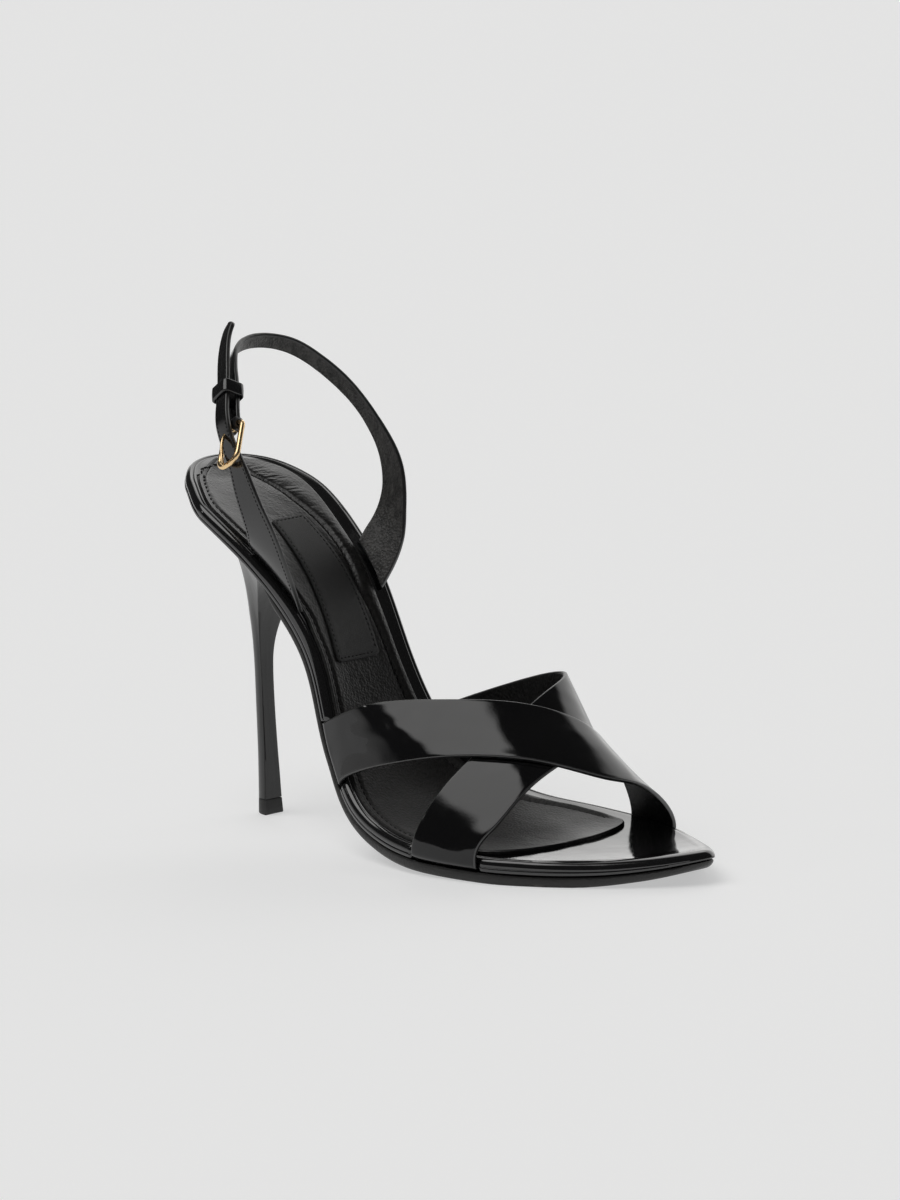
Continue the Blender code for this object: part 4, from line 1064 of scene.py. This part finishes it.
class Finish(Nodes):
    """A material in the making."""

    def __init__(self, name, color, roughness, **constants):
        self.material = bpy.data.materials.new(name)
        self.material.use_nodes = True
        super().__init__(self.material.node_tree)
        self.shader = self.tree.nodes["Principled BSDF"]
        self.shader.inputs["Base Color"].default_value = opaque(color)
        self.shader.inputs["Roughness"].default_value = roughness
        for socket, value in constants.items():
            self.shader.inputs[socket.replace("_", " ")].default_value = value

    def place(self):
        return self.node("ShaderNodeTexCoord", output="Object")

    def stretched(self, scale):
        return self.node("ShaderNodeMapping", {}, {"Vector": self.place(), "Scale": scale})

    def grain(self, scale, detail=3.0, rough=0.5, at=None, warp=0.0):
        sockets = {"Vector": at or self.place(), "Scale": scale, "Detail": detail, "Roughness": rough,
                   "Distortion": warp}
        return self.node("ShaderNodeTexNoise", {}, sockets, "Fac")

    def cells(self, scale, at=None):
        sockets = {"Vector": at or self.place(), "Scale": scale}
        return self.node("ShaderNodeTexVoronoi", {"feature": "F1"}, sockets, "Distance")

    def axis(self, name):
        return self.node("ShaderNodeSeparateXYZ", {}, {0: self.place()}, name)

    def tint(self, amount, dark, light):
        """Colours the surface between two tones."""
        sockets = {0: amount, 6: opaque(dark), 7: opaque(light)}
        self.feed("Base Color", self.node("ShaderNodeMix", {"data_type": "RGBA"}, sockets, 2))

    def feed(self, socket, value):
        self.tree.links.new(value.socket, self.shader.inputs[socket])

    def relief(self, *layers):
        """Raises the surface by layers of a pattern and its height in metres, the coarsest first."""
        below = None
        for pattern, height in layers:
            sockets = {"Height": pattern, "Distance": height, "Strength": 1.0, "Normal": below}
            below = self.node("ShaderNodeBump", {}, sockets, "Normal")
        self.feed("Normal", below)


def patent_finish(name, wave=1.0, gloss=0.07, shine=0.5):
    """Black patent leather: a deep gloss with slow ripples and faint orange peel."""
    made = Finish(name, (0.004, 0.004, 0.0045), gloss, Specular_IOR_Level=shine)
    slow = made.grain(38.0, 2.0, 0.45, warp=0.3)
    peel = made.grain(1500.0, 1.0, 0.4)
    dust = made.grain(260.0, 4.0, 0.6)
    made.feed("Roughness", made.between(dust, 0.35, 0.75, gloss, gloss + 0.07))
    made.tint(made.grain(90.0, 3.0), (0.003, 0.003, 0.0033), (0.006, 0.006, 0.0066))
    made.relief((slow, 0.0011 * wave), (peel, 0.000006))
    return made.material


def lining_finish(name, color=0.011, rough=0.5):
    """Black lining leather: pebbled grain with fine creases."""
    made = Finish(name, (color, color * 0.97, color * 0.94), rough, Specular_IOR_Level=0.45)
    pebble = made.cells(1500.0, made.stretched((1.0, 1.0, 0.7)))
    crease = made.grain(420.0, 5.0, 0.65, made.stretched((1.0, 1.0, 0.35)), 0.8)
    patches = made.grain(60.0, 3.0)
    made.feed("Roughness", rough - 0.08 + 0.2 * patches)
    dark = (color * 0.55, color * 0.54, color * 0.53)
    light = (color * 1.5, color * 1.46, color * 1.4)
    made.tint(made.between(crease, 0.3, 0.7), dark, light)
    made.relief((crease, 0.00035), (pebble, 0.00022))
    return made.material


def sock_finish():
    """Sock lining: satin black leather, smoother on the heel seat, grained and rubbed under the forefoot."""
    made = Finish("sock_satin_leather", (0.010, 0.0094, 0.009), 0.4, Specular_IOR_Level=0.55)
    ahead = made.axis("X")
    front = made.between(ahead, -0.045, -0.01) - made.between(ahead, 0.03, 0.06) * 0.85
    pebble = made.cells(1300.0)
    pores = made.grain(900.0, 3.0, 0.6)
    patches = made.grain(45.0, 4.0, 0.6)
    made.feed("Roughness", made.between(patches, 0.3, 0.7, 0.25, 0.33) + front * 0.3)
    made.tint(made.between(pores, 0.35, 0.7), (0.005, 0.0047, 0.0044), (0.014, 0.0133, 0.0126))
    made.relief((made.grain(150.0, 3.0), 0.00025), (pebble * (0.3 + front * 0.7) + pores * 0.4, 0.00016))
    return made.material


def edge_finish():
    """Painted strap edge: semi-gloss, with faint layers showing through."""
    made = Finish("painted_edge", 0.009, 0.26, Specular_IOR_Level=1.0)
    layers = made.grain(700.0, 3.0, 0.6)
    made.feed("Roughness", 0.22 + layers * 0.22)
    made.relief((layers, 0.00006))
    return made.material


def grained_finish(name, color, roughness, grain, stretch, rough, tones, height, **constants):
    """Finish whose roughness, tone and relief all follow one grain."""
    made = Finish(name, color, roughness, **constants)
    pattern = made.grain(*grain, made.stretched(stretch) if stretch else None)
    made.feed("Roughness", rough[0] + pattern * rough[1])
    made.tint(pattern, *tones)
    made.relief((pattern, height))
    return made.material


def heel_finish():
    """Leather-covered heel: smooth, semi-gloss, with faint vertical stretch marks."""
    tones = (0.010, 0.010, 0.0105), (0.017, 0.0168, 0.0165)
    return grained_finish("heel_leather", tones[0], 0.24, (260.0, 3.0, 0.5), (1.0, 1.0, 0.08),
                          (0.17, 0.14), tones, 0.00012)


def sole_finish():
    """Outsole: black stained leather with a burnished edge and a lightly scuffed tread."""
    made = Finish("sole_leather", (0.018, 0.0175, 0.017), 0.4)
    fibre = made.grain(850.0, 4.0, 0.6, made.stretched((0.35, 1.0, 1.0)))
    scuff = made.grain(120.0, 5.0, 0.7, warp=1.0)
    low = made.between(made.axis("Z"), 0.0004, 0.0012, 1.0, 0.0)
    made.feed("Roughness", 0.34 + fibre * 0.16 + low * 0.25)
    worn = made.between(scuff, 0.5, 0.68) * low
    made.tint(worn, (0.016, 0.0155, 0.015), (0.06, 0.056, 0.052))
    pores = made.cells(1600.0)
    made.relief((fibre + pores * 0.6, 0.00012))
    return made.material


def rubber_finish():
    return grained_finish("tip_rubber", 0.010, 0.5, (1100.0, 3.0, 0.6), None, (0.42, 0.2),
                          (0.007, 0.014), 0.00005)


def patch_finish():
    """Bare patch: matt black ribbon with a fine weave."""
    made = Finish("patch_ribbon", 0.005, 0.55, Sheen_Weight=0.15, Sheen_Roughness=0.4)
    threads = {"wave_type": "BANDS", "bands_direction": "Y"}
    weave = {"Vector": made.place(), "Scale": 900.0, "Distortion": 0.4}
    warp = made.node("ShaderNodeTexWave", threads, weave, "Fac")
    speckle = made.grain(600.0, 3.0, 0.6)
    made.feed("Roughness", 0.48 + speckle * 0.16)
    made.tint(speckle, 0.005, 0.012)
    made.relief((warp + speckle * 0.5, 0.00004))
    return made.material


def thread_finish():
    return grained_finish("black_thread", 0.004, 0.65, (1800.0, 2.0, 0.5), (1.0, 0.4, 1.0),
                          (0.55, 0.25), (0.002, 0.007), 0.00008, Specular_IOR_Level=0.3)


def gold_finish():
    """Polished pale gold with faint brushing and fingerprints."""
    made = Finish("polished_gold", (0.92, 0.66, 0.36), 0.2, Metallic=1.0)
    brushed = made.grain(500.0, 2.0, 0.5, made.stretched((0.2, 1.0, 1.0)))
    prints = made.grain(300.0, 4.0, 0.6)
    made.feed("Roughness", 0.13 + brushed * 0.1 + prints * 0.08)
    made.tint(prints, (0.88, 0.60, 0.30), (0.94, 0.71, 0.42))
    made.relief((prints, 0.00003))
    return made.material


# Studio.

def make_floor():
    """Plain pale floor."""
    mesh = bpy.data.meshes.new("studio_floor")
    corners = [(x * FLOOR_REACH, y * FLOOR_REACH, 0) for x, y in ((-1, -1), (1, -1), (1, 1), (-1, 1))]
    mesh.from_pydata(corners, [], [(0, 1, 2, 3)])
    floor = add_object("studio_floor", mesh)
    made = Finish("pale_floor", 0.6, 0.8, Specular_IOR_Level=0.0,
                  Emission_Color=(0.996, 1.0, 1.002, 1), Emission_Strength=FLOOR_GLOW)
    cloud = made.grain(3.0, 2.0)
    made.tint(cloud, 0.597, 0.603)
    mesh.materials.append(made.material)


def make_world():
    """Dark studio with its soft boxes."""
    world = bpy.data.worlds.new("studio")
    bpy.context.scene.world = world
    world.use_nodes = True
    studio = Nodes(world.node_tree)
    toward = studio.node("ShaderNodeTexCoord", output="Generated")
    total = STUDIO_DARK
    for azimuth, elevation, full, none, radiance in SOFT_BOXES:
        a, e = math.radians(azimuth), math.radians(elevation)
        centre = (math.cos(a) * math.cos(e), math.sin(a) * math.cos(e), math.sin(e))
        lean = studio.node("ShaderNodeVectorMath", {"operation": "DOT_PRODUCT"}, {0: toward, 1: centre},
                           "Value")
        low, high = math.cos(math.radians(none)), math.cos(math.radians(full))
        total = total + studio.between(lean, low, high, 0.0, radiance)
    light = world.node_tree.nodes["Background"]
    world.node_tree.links.new(total.socket, light.inputs["Strength"])
    light.inputs["Color"].default_value = (1.0, 0.995, 0.985, 1)


def make_camera():
    a, e = math.radians(CAMERA_AZIMUTH), math.radians(CAMERA_ELEVATION)
    back = Vector((math.sin(a) * math.cos(e), -math.cos(a) * math.cos(e), math.sin(e)))
    right = Vector((math.cos(a), math.sin(a), 0))
    up = back.cross(right)
    centre = Vector(CAMERA_TARGET) - Vector(MIDDLE)
    spot = centre + right * CAMERA_SHIFT[0] + up * CAMERA_SHIFT[1] + back * CAMERA_DISTANCE
    camera = bpy.data.cameras.new("camera")
    camera.lens = CAMERA_LENS
    camera.sensor_width = 36.0
    camera.clip_start = 0.05
    camera.clip_end = 60.0
    holder = add_object("camera", camera)
    turn = Matrix((right, up, back)).transposed().to_4x4()
    holder.matrix_world = Matrix.Translation(spot * MM) @ turn
    bpy.context.scene.camera = holder


def main():
    patent = patent_finish("patent_leather", 1.6, 0.06)
    rim_patent = patent_finish("rim_patent", 0.35, 0.08, 1.0)
    gloss = patent_finish("strap_gloss", 0.3, 0.14, 0.8)
    lining = lining_finish("band_lining")
    # The sling's lining is a lighter copy of the band lining: its paler colour is painted light on the
    # sling's inside, not a paler leather.
    painted_light_sling_lining = lining_finish("painted_light_sling_lining", 0.055, 0.38)
    edge = edge_finish()
    thread = thread_finish()
    gold = gold_finish()
    make_cover(rim_patent)
    make_outsole(sole_finish())
    make_sock(sock_finish())
    make_sock_stitches(thread)
    make_patch(patch_finish(), thread)
    make_heel(heel_finish(), rubber_finish())
    make_bands([patent, lining, edge])
    make_sling([gloss, painted_light_sling_lining, edge])
    make_billet([gloss, lining, edge], thread)
    make_buckle(gold)
    make_keeper(gloss)
    make_floor()
    make_world()
    make_camera()
    bpy.context.scene.view_settings.view_transform = "Standard"


main()
